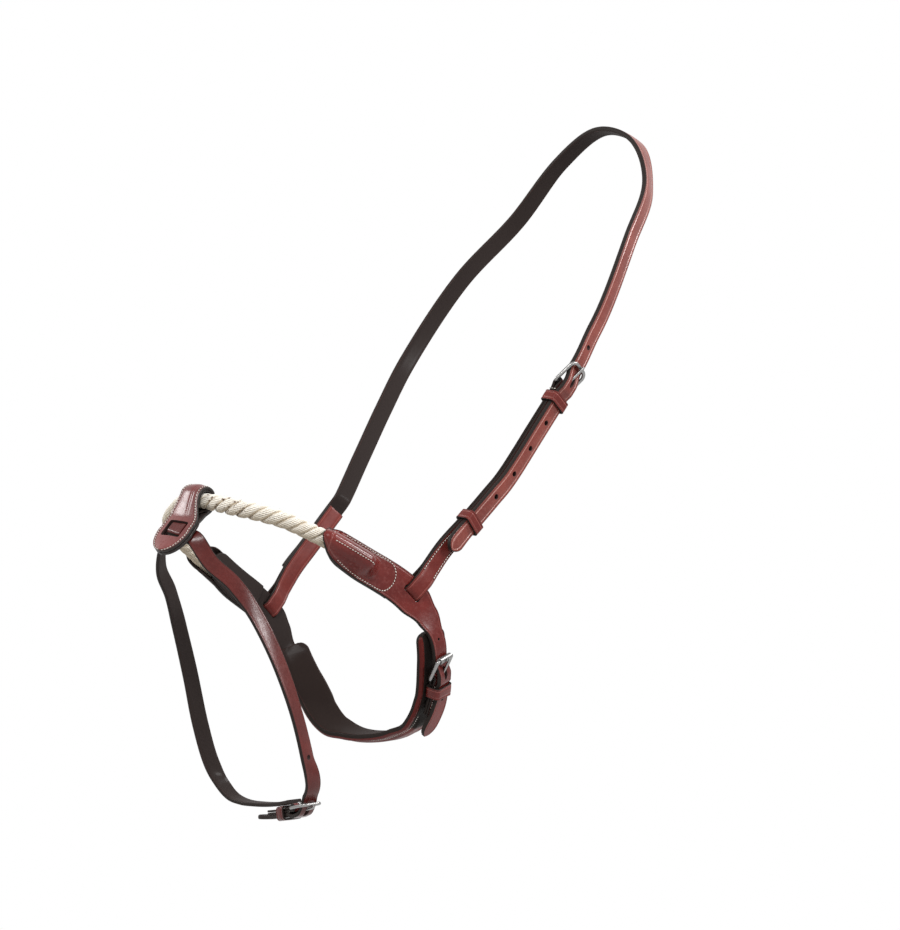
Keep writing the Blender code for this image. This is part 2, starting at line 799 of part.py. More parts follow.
HEAD_BUCKLE = Buckle(
    name="head_buckle",
    route=HEAD,
    bar_at=HEAD_BUCKLE_AT,
    bar_out=0.0,
    strap_width=HEAD_WIDTH,
    strap_thickness=HEAD_THICKNESS,
    strap_low=HEAD_LIFT - HANGER_HALF,
    strap_after=HANGER_HALF + GAP,
    ply=HANGER_PLY,
    wire=WIRE,
    length=BUCKLE_LENGTH,
    setback=KEEPER_SETBACK,
    corner=0.55,
)
CHAPE_FLOOR = CHIN_THICKNESS + KEEPER_WALL + 2 * GAP
CHIN_BUCKLE = Buckle(
    name="chin_buckle",
    route=RING,
    bar_at=CHIN_BUCKLE_AT,
    bar_out=CHAPE_FLOOR + CHIN_CHAPE_PLY + GAP / 2,
    strap_width=BILLET_WIDTH,
    strap_thickness=CHEEK_THICKNESS,
    strap_low=CHIN_THICKNESS + CHIN_LIFT,
    strap_after=CHAPE_FLOOR + 2 * CHIN_CHAPE_PLY + 3.5 * GAP,
    ply=CHIN_CHAPE_PLY,
    wire=WIRE,
    length=CHIN_BUCKLE_LENGTH,
    setback=CHIN_KEEPER_SETBACK,
    roller=ROLLER_WALL + GAP,
    corner=0.22,
)
FLASH_CHAPE_FLOOR = FLASH_THICKNESS + KEEPER_WALL + 2 * GAP
FLASH_BUCKLE = Buckle(
    name="flash_buckle",
    route=FLASH,
    bar_at=FLASH_BUCKLE_AT,
    bar_out=FLASH_CHAPE_FLOOR + FLASH_CHAPE_PLY + GAP / 2,
    strap_width=FLASH_WIDTH,
    strap_thickness=FLASH_THICKNESS,
    strap_low=FLASH_LIFT,
    strap_after=FLASH_CHAPE_FLOOR + 2 * FLASH_CHAPE_PLY + 2 * GAP,
    ply=FLASH_CHAPE_PLY,
    wire=FLASH_WIRE,
    length=FLASH_BUCKLE_LENGTH,
    setback=KEEPER_SETBACK,
)


# Shared outlines


def tip_half_width(half, left):
    """Narrow a strap's half width to a blunt point, by the length left to its tip."""
    taper = 1.25 * half
    if left >= taper:
        return half
    share = 1.0 - left / taper
    return max(half * math.sqrt(max(1.0 - share * share, 0.0)), 0.18 * half)


def strap_places(*stretches):
    """Join stretches of even places, each (start, end, step), into one list."""
    places = []
    for start, end, step in stretches:
        for place in spread(start, end, step):
            if not places or place - places[-1] > 0.2 * MM:
                places.append(place)
    return places


def fold_line(bar_at, bar_out, radius, half_gap, turn_in, start, end):
    """Return a folded strap's centre line round a bar: lower ply, arc on the -along side, upper ply."""
    lower = [(place, bar_out - half_gap) for place in reversed(spread(bar_at + turn_in, start, FINE_STEP))]
    arc = [
        (bar_at + radius * math.cos(math.radians(angle)), bar_out + radius * math.sin(math.radians(angle)))
        for angle in range(270, 80, -30)
    ]
    upper = [(place, bar_out + half_gap) for place in spread(bar_at + turn_in, end, FINE_STEP)]
    return lower + arc + upper


def make_keeper(shop, name, route, start, half_width, low, high):
    """Make a closed leather loop round the straps between two levels."""
    inside = half_width + SIDE_PLAY
    outside = inside + KEEPER_WALL
    end = start + KEEPER_LENGTH
    keeper = shop.sheet(
        name,
        spread(start, end, FINE_STEP),
        lambda along: [-outside, outside],
        lambda along, across: low - GAP - KEEPER_WALL,
        lambda along, across: high + GAP + KEEPER_WALL,
    )
    opening = shop.sheet(
        "opening",
        [start - MM] + spread(start, end, FINE_STEP)[1:-1] + [end + MM],
        lambda along: [-inside, inside],
        lambda along, across: low - GAP,
        lambda along, across: high + GAP,
    )
    shop.cut(keeper, [opening])
    return shop.lay(keeper, route)


# Noseband


def rope_radius(angle, turn):
    """Return the rope's radius where its strands leave a groove."""
    groove = 0.5 - 0.5 * math.cos(ROPE_STRANDS * (angle - turn))
    return ROPE_DIAMETER / 2 - ROPE_GROOVE * groove


def make_rope(shop, finish, parent):
    """Make the twisted rope from cover to cover."""
    body = bmesh.new()
    length = 2 * ROPE_END
    bmesh.ops.create_cone(
        body, cap_ends=True, segments=ROPE_SIDES, radius1=1.0, radius2=1.0, depth=length
    )
    for place in spread(-ROPE_END, ROPE_END, ROPE_STEP)[1:-1]:
        bmesh.ops.bisect_plane(
            body, geom=body.verts[:] + body.edges[:] + body.faces[:],
            plane_co=(0, 0, place), plane_no=(0, 0, 1),
        )
    for vertex in body.verts:
        along = vertex.co.z
        turn = math.tau * along / ROPE_TURN_LENGTH
        angle = math.atan2(vertex.co.y, vertex.co.x)
        free = ease((abs(along - LOOP_AT + LOOP_LEAN / 2) - LOOP_TOP_HALF_WIDTH) / ROPE_SQUEEZE_FADE)
        radius = rope_radius(angle, 0.0) - ROPE_SQUEEZE * (1.0 - free)
        across = radius * math.cos(angle + turn)
        out = ROPE_HEIGHT + radius * math.sin(angle + turn)
        vertex.co = RING.place(along, across, out)
    rope = shop.from_bmesh("nose_rope", body)
    shop.dress(rope, finish, parent)


def cheek_low_edge(along):
    """Return the cheek piece's half width below its middle line."""
    return eased(
        [
            (COVER_START, COVER_MOUTH_HALF_WIDTH),
            (COVER_FULL_WIDTH_AT, CHEEK_HALF_WIDTH),
            (SLOT_AT + 2 * MM, CHEEK_HALF_WIDTH),
            (BILLET_START - 10 * MM, BILLET_WIDTH / 2 + 2 * MM),
            (BILLET_START, BILLET_WIDTH / 2),
        ],
        along,
    )


def cheek_high_edge(along):
    """Return the cheek piece's half width above its middle line."""
    return eased(
        [
            (COVER_START, COVER_MOUTH_HALF_WIDTH),
            (COVER_FULL_WIDTH_AT, CHEEK_HALF_WIDTH),
            (SLOT_AT + 7 * MM, CHEEK_HALF_WIDTH),
            (BILLET_START - 12 * MM, BILLET_WIDTH / 2 + 3 * MM),
            (BILLET_START, BILLET_WIDTH / 2),
        ],
        along,
    )


def bulge_half_width(along):
    """Return the half width of the tunnel that is moulded over the rope."""
    narrow = min(cheek_low_edge(along), cheek_high_edge(along))
    return min(ROPE_DIAMETER / 2 + BULGE_ROOM, narrow - BULGE_EDGE)


def bulge_height(along, across):
    """Return how far the cheek piece stands up over the rope."""
    height = ROPE_DIAMETER + 4 * GAP
    height = eased([(ROPE_END, height), (ROPE_END + COVER_SLOPE, 0.0)], along)
    share = min(abs(across) / bulge_half_width(along), 1.0)
    return height * math.sqrt(1.0 - share * share)


def cheek_columns(low_edge, high_edge):
    """Return a function that gives the columns of a cheek piece at a length along it."""
    def columns(along):
        low, high = -low_edge(along), high_edge(along)
        if along > ROPE_END + COVER_SLOPE + BULGE_EDGE:
            return [low, high]
        half = bulge_half_width(along)
        shares = [math.sin(math.radians(angle)) for angle in (-90, -65, -40, -15, 15, 40, 65, 90)]
        return [low] + [half * share for share in shares] + [high]
    return columns


def round_mouth(piece):
    """Draw the corners of a cheek piece's mouth back, so that its end is rounded."""
    for vertex in piece.data.vertices:
        share = abs(vertex.co.y) / COVER_MOUTH_HALF_WIDTH
        fade = 1.0 - ease((vertex.co.x - COVER_START) / (2.5 * COVER_ROUNDING))
        vertex.co.x += COVER_ROUNDING * min(share, 1.0) ** 2 * fade


def make_cheek_piece(shop, name, end, tip, level, finish, parent, flip):
    """Make a cheek piece: its tunnel over the rope, its slot and its lower end."""
    def narrowed(edge):
        def narrow(along):
            if not tip or along <= BILLET_START:
                return edge(along)
            return min(edge(along), tip_half_width(BILLET_WIDTH / 2, end - along))
        return narrow

    low_edge = narrowed(cheek_low_edge)
    high_edge = narrowed(cheek_high_edge)
    places = strap_places(
        (COVER_START, ROPE_END, STEP),
        (ROPE_END, ROPE_END + COVER_SLOPE, FINE_STEP),
        (ROPE_END + COVER_SLOPE, BILLET_START, STEP),
        (BILLET_START, end - 8 * MM, FINE_STEP if tip else STEP),
        (end - 8 * MM, end, 1.6 * MM if tip else STEP),
    )
    piece = shop.sheet(
        name,
        places,
        cheek_columns(low_edge, high_edge),
        lambda along, across: level(along) + bulge_height(along, across),
        lambda along, across: level(along) + CHEEK_THICKNESS + bulge_height(along, across),
    )
    round_mouth(piece)
    slot_half = HEAD_WIDTH / 2 + SLOT_SIDE_PLAY
    slot = shop.box(
        (SLOT_AT - slot_half, SLOT_FLOOR, -CHEEK_THICKNESS),
        (SLOT_AT + slot_half, STRIP_EDGE, 4 * CHEEK_THICKNESS),
    )
    cutters = [slot]
    if tip:
        high = CHIN_BUCKLE.fold_top + 2 * CHEEK_THICKNESS
        cutters.append(CHIN_BUCKLE.hole(shop, CHIN_BUCKLE.strap_low - MM, high))
        for number in (-1, 1):
            cutters.append(billet_hole(shop, number))
    shop.cut(piece, cutters)
    shop.lay(piece, NEAR_CHEEK_ROUTE if tip else RING, flip)
    return shop.dress(piece, finish, parent)


def billet_level(along):
    """Return the level of the near billet's inner face."""
    crossbar = CHIN_BUCKLE_AT - CHIN_BUCKLE_LENGTH
    if along < crossbar:
        return eased(
            [(SLOT_AT + SLOT_TO_RISE, CHEEK_LEVEL), (crossbar, CHIN_BUCKLE.strap_low)], along
        )
    return CHIN_BUCKLE.lift(along)


def off_level(along):
    """Return the level of the off cheek piece's inner face."""
    return eased(
        [(SLOT_AT + SLOT_TO_RISE, CHEEK_LEVEL), (BILLET_START - 2 * MM, CHIN_THICKNESS + GAP)], along
    )


def billet_hole(shop, number):
    """Return the punch of one of the near billet's other holes."""
    place = CHIN_BUCKLE_AT - BILLET_HOLES_FROM + number * BILLET_HOLE_PITCH
    return shop.punch(place, BILLET_HOLE_DIAMETER, BILLET_HOLE_DIAMETER, 0.0, 30 * MM)


def make_lining(shop, name, finish, parent, flip):
    """Make the flat lining that closes the tunnel behind the rope."""
    lining = shop.sheet(
        name,
        spread(COVER_START + MM, LINING_END, STEP),
        lambda along: [LINING_INSET - cheek_low_edge(along), cheek_high_edge(along) - LINING_INSET],
        lambda along, across: 0.0,
        lambda along, across: LINING_THICKNESS,
    )
    round_mouth(lining)
    shop.lay(lining, RING, flip)
    shop.dress(lining, finish, parent)


def make_chin_strap(shop, finish, parent):
    """Make the padded strap from the off cheek piece round the jaw to the near buckle."""
    end = RING.total - BILLET_START
    ridge_start = CHIN_BUCKLE_AT + CHIN_CHAPE_LENGTH + 4 * MM
    ridge_end = RING.total - OFF_CHEEK_END - 4 * MM
    half = CHIN_WIDTH / 2

    def edge(along):
        left = CHIN_CORNER - min(along - GUARD_START, end - along, CHIN_CORNER)
        return half - CHIN_CORNER + math.sqrt(CHIN_CORNER ** 2 - left ** 2)

    def ridge(along):
        return eased(
            [(ridge_start, 0.0), (ridge_start + CHIN_RIDGE_SLOPE, CHIN_RIDGE),
             (ridge_end - CHIN_RIDGE_SLOPE, CHIN_RIDGE), (ridge_end, 0.0)],
            along,
        )

    def columns(along):
        return [-edge(along), -CHIN_RIDGE_SHARE * half, CHIN_RIDGE_SHARE * half, edge(along)]

    def top(along, across):
        return CHIN_THICKNESS + (ridge(along) if abs(across) < half / 2 else 0.0)

    places = strap_places(
        (GUARD_START, GUARD_START + CHIN_CORNER, CHIN_CORNER / 5),
        (GUARD_START + CHIN_CORNER, end - CHIN_CORNER, STEP),
        (end - CHIN_CORNER, end, CHIN_CORNER / 5),
    )
    strap = shop.sheet("chin_strap", places, columns, lambda along, across: 0.0, top)
    shop.lay(strap, RING)
    shop.dress(strap, finish, parent)


def make_chape(shop, name, buckle, length, finish, parent):
    """Make the short folded strap that holds a buckle."""
    half_gap = (buckle.ply + GAP) / 2
    end = buckle.bar_at + length
    line = fold_line(
        buckle.bar_at, buckle.bar_out, buckle.fold_radius, half_gap, 5 * MM, end, end
    )
    chape = shop.ribbon(name, line, buckle.strap_width, buckle.ply)
    shop.cut(chape, [buckle.slit(shop)])
    shop.lay(chape, buckle.route)
    shop.dress(chape, finish, parent)


# Headpiece


def hanger_fold(ply_half):
    """Return the centre lines of the outer ply's end, of the fold through the slot and of the inner."""
    wrap = HANGER_FOLD_HALF
    centre = HEAD_SLOT - fold_drop()
    top = HEAD_SLOT - (CHEEK_HALF_WIDTH - PIVOT_ACROSS) - 2 * MM
    join = top - 9 * MM
    outer = [(join, ply_half), ((join + top) / 2, (ply_half + wrap) / 2), (top, wrap)]
    steps = round(math.pi / FOLD_FACET)
    angles = [step * FOLD_FACET for step in range(steps + 1)]
    arc = [(centre + wrap * math.sin(angle), wrap * math.cos(angle)) for angle in angles]
    inner = [(along, -out) for along, out in reversed(outer)]
    return outer, arc, inner, join


def make_near_hanger(shop, finish):
    """Make the folded strap from the near slot up to the head buckle."""
    ply_half = (HANGER_PLY + GAP) / 2
    outer, arc, inner, join = hanger_fold(ply_half)
    bar = HEAD_BUCKLE_AT
    butt = (bar + join) / 2
    upper_arc = [
        (bar + HEAD_BUCKLE.fold_radius * math.cos(math.radians(angle)),
         HEAD_BUCKLE.fold_radius * math.sin(math.radians(angle)))
        for angle in range(270, 80, -30)
    ]
    turn_in = 6 * MM
    line = [(place, -ply_half) for place in reversed(spread(bar + turn_in, butt, STEP))]
    line += upper_arc
    line += [(place, ply_half) for place in spread(bar + turn_in, join, STEP)][:-1]
    line += outer + arc + inner
    line += [(place, -ply_half) for place in reversed(spread(butt + GAP, join, STEP))][1:]
    hanger = shop.ribbon("near_hanger", line, HEAD_WIDTH, HANGER_PLY)
    shop.cut(hanger, [HEAD_BUCKLE.slit(shop)])
    shop.lay(hanger, HEAD)
    shop.dress(hanger, finish)


def make_off_hanger(shop, finish):
    """Make the folded strap from the off slot up to the head strap's sewn end."""
    ply_half = (HANGER_PLY + GAP) / 2
    outer, arc, inner, join = hanger_fold(ply_half)
    top = HEAD_SLOT - OFF_HANGER_LENGTH
    line = [(place, ply_half) for place in spread(top, join, STEP)][:-1]
    line += outer + arc + inner
    line += [(place, -ply_half) for place in reversed(spread(top, join, STEP))][1:]
    hanger = shop.ribbon("off_hanger", line, HEAD_WIDTH, HANGER_PLY)
    shop.lay(hanger, HEAD, flip=True)
    shop.dress(hanger, finish)


def head_strap_level(along):
    """Return the level of the head strap's inner face along the whole headpiece."""
    off_top = -(HEAD_SLOT - OFF_HANGER_LENGTH)
    over = HANGER_HALF + GAP
    if along < off_top + 20 * MM:
        return eased([(off_top + 1 * MM, over), (off_top + 14 * MM, -HANGER_HALF)], along)
    if along > HEAD_BUCKLE_AT - BUCKLE_LENGTH:
        tip = HEAD_BUCKLE_AT + HEAD_TAIL
        lifted = eased([(tip - 22 * MM, 0.0), (tip, HEAD_TAIL_LIFT)], along)
        return HEAD_BUCKLE.lift(along) + lifted
    return eased(
        [
            (HEAD_BUCKLE_AT - 3 * BUCKLE_LENGTH, -HANGER_HALF),
            (HEAD_BUCKLE_AT - BUCKLE_LENGTH, HEAD_BUCKLE.strap_low),
        ],
        along,
    )


def make_head_strap(shop, finish):
    """Make the long strap from the off hanger over the poll, through the buckle to its tip."""
    start = -(HEAD_SLOT - OFF_HANGER_LENGTH) - OFF_HANGER_LAP
    end = HEAD_BUCKLE_AT + HEAD_TAIL
    off_top = start + OFF_HANGER_LAP
    half = HEAD_WIDTH / 2
    places = strap_places(
        (start, off_top, STEP),
        (off_top, off_top + 16 * MM, FINE_STEP),
        (off_top + 16 * MM, HEAD_BUCKLE_AT - BUCKLE_LENGTH, LONG_STEP),
        (HEAD_BUCKLE_AT - BUCKLE_LENGTH, HEAD_BUCKLE_AT + 12 * MM, 1.6 * MM),
        (HEAD_BUCKLE_AT + 12 * MM, end - 9 * MM, LONG_STEP),
        (end - 9 * MM, end, 1.5 * MM),
    )

    def columns(along):
        edge = tip_half_width(half, end - along)
        return [-edge, edge]

    strap = shop.sheet(
        "head_strap",
        places,
        columns,
        lambda along, across: head_strap_level(along),
        lambda along, across: head_strap_level(along) + HEAD_THICKNESS,
    )
    low, high = -HANGER_HALF - 2 * MM, HEAD_BUCKLE.fold_top + HEAD_THICKNESS + 4 * MM
    cutters = [HEAD_BUCKLE.hole(shop, low, high)]
    for number in (-1, 2, 3, 4, 5):
        place = HEAD_BUCKLE_AT - HEAD_HOLES_FROM + number * HEAD_HOLE_PITCH
        cutters.append(shop.punch(place, HEAD_HOLE_DIAMETER, HEAD_HOLE_DIAMETER, low, high))
    shop.cut(strap, cutters)
    shop.lay(strap, HEAD)
    shop.dress(strap, finish)


# Flash loop and strap


def tangent_angle(point, radius, side):
    """Return the angle at which a line from a point touches a circle round the origin."""
    distance = math.hypot(*point)
    return math.atan2(point[1], point[0]) + side * math.acos(radius / distance)


def teardrop(radius, front, back):
    """Return an outline round the rope that narrows from a circle to two points below it."""
    start = tangent_angle(front, radius, 1)
    end = tangent_angle(back, radius, -1) + math.tau
    angles = [start + (end - start) * step / 14 for step in range(15)]
    return [(radius * math.cos(angle), radius * math.sin(angle)) for angle in angles]


def smooth_outline(stops, step):
    """Return (down, half width) points eased between the stops."""
    places = spread(stops[0][0], stops[-1][0], step)
    return [(place, eased(stops, place)) for place in places]


def into_loop(item):
    """Move an object from the loop's own coordinates (down, sideways, out) into the world."""
    axes = Matrix((-LOOP_FRAME.across, LOOP_FRAME.along, LOOP_FRAME.out)).transposed().to_4x4()
    item.data.transform(Matrix.Translation(LOOP_CENTRE) @ axes)
    return item


UPRIGHT = Matrix(((1, 0, 0, 0), (0, 0, 1, 0), (0, 1, 0, 0), (0, 0, 0, 1)))


def stand(item):
    """Turn a plate drawn as (down, out) so that its thickness lies sideways."""
    item.data.transform(UPRIGHT)
    item.data.flip_normals()
    return item


def loop_lean(down):
    """Return how far the loop's middle line leans to the off side, most at its top."""
    return eased([(0.0, LOOP_LEAN), (LOOP_LENGTH * 0.5, 0.0)], down)


def make_flash_loop(shop, finish, parent):
    """Make the loop: a leather folded over the rope, shaped from the front and with a window."""
    inner_radius = TAB_RADIUS + TAB_PLY + GAP
    outer_radius = inner_radius + LOOP_PLY
    join = LOOP_JOIN
    middle = (LOOP_FACE + LOOP_BACK) / 2
    outer = teardrop(outer_radius, (join, LOOP_FACE), (join, LOOP_BACK))
    outer += [(join, LOOP_BACK), (LOOP_LENGTH, LOOP_BACK), (LOOP_LENGTH, LOOP_FACE), (join, LOOP_FACE)]
    meet = join - 0.5 * MM
    inner = teardrop(inner_radius, (meet, middle), (meet, middle)) + [(meet, middle)]
    loop = stand(shop.plate("flash_loop", [outer, inner], LOOP_HALF_WIDTH + 5 * MM))
    front = smooth_outline(
        [
            (-outer_radius - MM, LOOP_TOP_HALF_WIDTH),
            (2 * MM, LOOP_TOP_HALF_WIDTH + 0.3 * MM),
            (LOOP_LENGTH * 0.5, LOOP_HALF_WIDTH - 0.1 * MM),
            (LOOP_LENGTH * 0.6, LOOP_HALF_WIDTH),
        ],
        3 * MM,
    )
    wide = LOOP_LENGTH * 0.6
    for step in range(1, 8):
        angle = math.radians(90 * step / 7)
        down = wide + (LOOP_LENGTH - wide) * math.sin(angle) ** 0.9
        front.append((down, LOOP_HALF_WIDTH * math.cos(angle) + 0.5 * MM))
    outline = [(down, half - loop_lean(down)) for down, half in front]
    outline += [(down, -half - loop_lean(down)) for down, half in reversed(front)]
    shape = shop.plate("shape", [outline], outer_radius + 2 * MM)
    shop.cut(loop, [shape], "INTERSECT")
    window_half = FLASH_WIDTH / 2 + WINDOW_PLAY
    window = shop.box(
        (FLASH_DROP - window_half + WINDOW_DROP, -WINDOW_WIDTH / 2, -20 * MM),
        (FLASH_DROP + window_half + WINDOW_DROP, WINDOW_WIDTH / 2, 20 * MM),
    )
    shop.cut(loop, [window])
    shop.dress(into_loop(loop), finish, parent)


def make_loop_tab(shop, finish, parent):
    """Make the inner tab that wraps the rope inside the loop."""
    inner_radius = TAB_RADIUS
    outer_radius = inner_radius + TAB_PLY
    middle = (LOOP_FACE + LOOP_BACK) / 2
    point = (TAB_JOIN, middle * TAB_JOIN / LOOP_JOIN)
    inner_point = (TAB_INNER_JOIN, middle * TAB_INNER_JOIN / LOOP_JOIN)
    outer = teardrop(outer_radius, point, point) + [point]
    inner = teardrop(inner_radius, inner_point, inner_point) + [inner_point]
    tab = stand(shop.plate("flash_loop_tab", [outer, inner], TAB_WIDTH / 2))
    tab.data.transform(Matrix.Translation((0.0, -LOOP_LEAN / 2, 0.0)))
    shop.dress(into_loop(tab), finish, parent)


def make_loop_bridge(shop, finish, parent):
    """Make the bridge sewn behind the loop, which keeps the flash strap in its window."""
    top = LOOP_BACK - GAP
    sunk = FLASH_LEVEL + BRIDGE_RISE - GAP
    half = FLASH_WIDTH / 2 + 0.4 * MM
    bend = half + BRIDGE_BEND
    ends = half + BRIDGE_LAP
    upper = [
        (FLASH_DROP - ends, top), (FLASH_DROP - bend, top), (FLASH_DROP - half, sunk),
        (FLASH_DROP + half, sunk), (FLASH_DROP + bend, top), (FLASH_DROP + ends, top),
    ]
    lower = [(down, out - BRIDGE_THICKNESS) for down, out in reversed(upper)]
    bridge = stand(shop.plate("flash_loop_bridge", [upper + lower], BRIDGE_WIDTH / 2))
    shop.dress(into_loop(bridge), finish, parent)


def flash_level(along):
    """Return the level of the flash strap's inner face."""
    if abs(along) < WINDOW_WIDTH:
        return eased([(WINDOW_WIDTH / 8, FLASH_RISE), (WINDOW_WIDTH / 2 - GAP, 0.0)], abs(along))
    crossbar = FLASH_BUCKLE_AT - FLASH_BUCKLE_LENGTH
    if along > crossbar:
        return FLASH_BUCKLE.lift(along)
    return eased([(crossbar - 1.5 * FLASH_BUCKLE_LENGTH, 0.0), (crossbar, FLASH_LIFT)], along)


def make_flash_strap(shop, finish, parent):
    """Make the flash strap from its buckle end, round the nose and through the buckle to its tip."""
    start = FLASH_BUCKLE_AT + 5 * MM - FLASH.total
    end = FLASH_BUCKLE_AT + FLASH_TAIL
    half = FLASH_WIDTH / 2
    front = WINDOW_WIDTH / 2 + 4 * MM
    places = strap_places(
        (start, start + 60 * MM, STEP),
        (start + 60 * MM, -front, STEP),
        (-front, front, 1.3 * MM),
        (front, FLASH_BUCKLE_AT - 2.5 * FLASH_BUCKLE_LENGTH, STEP),
        (FLASH_BUCKLE_AT - 2.5 * FLASH_BUCKLE_LENGTH, FLASH_BUCKLE_AT - FLASH_BUCKLE_LENGTH, FINE_STEP),
        (FLASH_BUCKLE_AT - FLASH_BUCKLE_LENGTH, FLASH_BUCKLE_AT + 12 * MM, 1.6 * MM),
        (FLASH_BUCKLE_AT + 12 * MM, end - 8 * MM, STEP),
        (end - 8 * MM, end, 1.5 * MM),
    )

    def columns(along):
        edge = tip_half_width(half, end - along)
        return [-edge, edge]

    strap = shop.sheet(
        "flash_strap",
        places,
        columns,
        lambda along, across: flash_level(along),
        lambda along, across: flash_level(along) + FLASH_THICKNESS,
    )
    low, high = -2 * MM, FLASH_BUCKLE.fold_top + FLASH_THICKNESS + 2 * MM
    cutters = [FLASH_BUCKLE.hole(shop, low, high)]
    for number in (-2, 1, 2):
        place = FLASH_BUCKLE_AT - 6 * MM + number * FLASH_HOLE_PITCH
        bottom = FLASH_THICKNESS / 2 if number > 0 else low
        cutters.append(shop.punch(place, FLASH_HOLE_DIAMETER, FLASH_HOLE_DIAMETER, bottom, high))
    shop.cut(strap, cutters)
    shop.lay(strap, FLASH)
    shop.dress(strap, finish, parent)


# The whole object


def make_noseband(shop, leather, lining, rope, steel, parent):
    """Make the noseband's ring: rope, cheek pieces, chin strap and buckle."""
    make_rope(shop, rope, parent)
    tip = CHIN_BUCKLE_AT + BILLET_TAIL
    make_cheek_piece(shop, "near_cheek_piece", tip, True, billet_level, leather, parent, False)
    make_cheek_piece(shop, "off_cheek_piece", OFF_CHEEK_END, False, off_level, leather, parent, True)
    make_lining(shop, "near_cheek_lining", lining, parent, False)
    make_lining(shop, "off_cheek_lining", lining, parent, True)
    make_chin_strap(shop, leather, parent)
    make_chape(shop, "chin_chape", CHIN_BUCKLE, CHIN_CHAPE_LENGTH, leather, parent)
    CHIN_BUCKLE.make(shop, steel, parent)
    keeper = make_keeper(
        shop, "chin_keeper", RING, CHIN_BUCKLE_AT + CHIN_KEEPER_SETBACK + GAP, BILLET_WIDTH / 2,
        CHAPE_FLOOR, CHIN_BUCKLE.strap_after + CHEEK_THICKNESS,
    )
    shop.dress(keeper, leather, parent)


def make_flash(shop, leather, pale, steel, parent):
    """Make the flash loop, its strap and its buckle."""
    make_flash_loop(shop, pale, parent)
    make_loop_tab(shop, pale, parent)
    make_loop_bridge(shop, pale, parent)
    make_flash_strap(shop, leather, parent)
    make_chape(shop, "flash_chape", FLASH_BUCKLE, FLASH_CHAPE_LENGTH, leather, parent)
    FLASH_BUCKLE.make(shop, steel, parent)
    keeper = make_keeper(
        shop, "flash_keeper", FLASH, FLASH_BUCKLE_AT + KEEPER_SETBACK + MM, FLASH_WIDTH / 2,
        FLASH_CHAPE_FLOOR, FLASH_BUCKLE.strap_after + FLASH_THICKNESS,
    )
    shop.dress(keeper, leather, parent)


def make_headpiece(shop, leather, steel):
    """Make the head strap, its hangers, its buckle, keeper and runner."""
    make_head_strap(shop, leather)
    make_near_hanger(shop, leather)
    make_off_hanger(shop, leather)
    HEAD_BUCKLE.make(shop, steel, None)
    top = HEAD_BUCKLE.strap_after + HEAD_THICKNESS
    keeper = make_keeper(
        shop, "head_keeper", HEAD, HEAD_BUCKLE_AT + KEEPER_SETBACK + MM, HEAD_WIDTH / 2, -HANGER_HALF, top
    )
    shop.dress(keeper, leather)
    runner = make_keeper(
        shop, "head_runner", HEAD, HEAD_BUCKLE_AT + RUNNER_AT, HEAD_WIDTH / 2, -HANGER_HALF, top
    )
    centre = HEAD.place(HEAD_BUCKLE_AT + RUNNER_AT + KEEPER_LENGTH / 2, 0.0, 0.0)
    shop.dress(runner, leather, at=centre)


def main():
    """Build the flash noseband."""
    shop = Workshop()
    leather = material("mahogany_leather", LEATHER_RED, 0.45)
    light = material("head_leather", LEATHER_LIGHT, 0.5)
    pale = material("loop_leather", LEATHER_PALE, 0.5)
    lining = material("lining_leather", LEATHER_DARK, 0.6)
    rope = material("cream_rope", ROPE_CREAM, 0.85)
    steel = material("steel", STEEL, 0.25, 1.0)
    noseband = shop.joint("noseband_pivot", Matrix.Translation((0.0, PIVOT.y, PIVOT.z)))
    flash = shop.joint("flash_pivot", Matrix.Translation(LOOP_CENTRE), noseband)
    make_headpiece(shop, light, steel)
    make_noseband(shop, leather, lining, rope, steel, noseband)
    make_flash(shop, leather, pale, steel, flash)


if __name__ == "__main__":
    main()
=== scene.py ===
"""Rope noseband with a flash strap and its headpiece: the finished look of every piece.

Each strap is shaped flat, in its own coordinates (along, across, out), with its rounded and painted
edges, its creases, its moulding and its punched holes, and is then laid along the route that the
frame's solids follow, so that the finished piece covers its solid. +X is the horse's left (the near
side), -Y is the way the horse faces, and +Z is up. Sizes are in metres.
"""

import json
import logging
import math
from dataclasses import dataclass, field
from enum import Enum
from typing import Any, Callable, Sequence

import bmesh
import bpy
import numpy as np
from mathutils import Matrix, Vector
from mathutils.kdtree import KDTree

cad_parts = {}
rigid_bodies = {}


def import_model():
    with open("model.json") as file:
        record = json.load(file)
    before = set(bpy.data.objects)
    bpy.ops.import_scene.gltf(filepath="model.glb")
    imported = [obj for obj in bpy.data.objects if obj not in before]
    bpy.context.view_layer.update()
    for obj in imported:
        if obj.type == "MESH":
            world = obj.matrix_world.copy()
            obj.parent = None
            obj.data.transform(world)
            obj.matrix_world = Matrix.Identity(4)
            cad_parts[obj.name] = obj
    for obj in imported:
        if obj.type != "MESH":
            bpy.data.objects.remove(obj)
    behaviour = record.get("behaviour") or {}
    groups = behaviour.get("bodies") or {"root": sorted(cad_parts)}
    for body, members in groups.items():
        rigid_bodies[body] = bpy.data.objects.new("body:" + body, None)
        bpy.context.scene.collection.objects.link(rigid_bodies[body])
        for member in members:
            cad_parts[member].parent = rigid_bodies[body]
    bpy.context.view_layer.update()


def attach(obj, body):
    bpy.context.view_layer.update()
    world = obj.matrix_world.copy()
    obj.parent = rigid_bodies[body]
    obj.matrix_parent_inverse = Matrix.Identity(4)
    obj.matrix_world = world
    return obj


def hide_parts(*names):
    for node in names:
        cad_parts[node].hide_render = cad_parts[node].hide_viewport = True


LOG = logging.getLogger("flash_noseband")
MM = 0.001
# Where the trim's nearness to an edge has this value, a highlight line is painted along the crease in the
# light colour
HIGHLIGHT_AT = 0.28

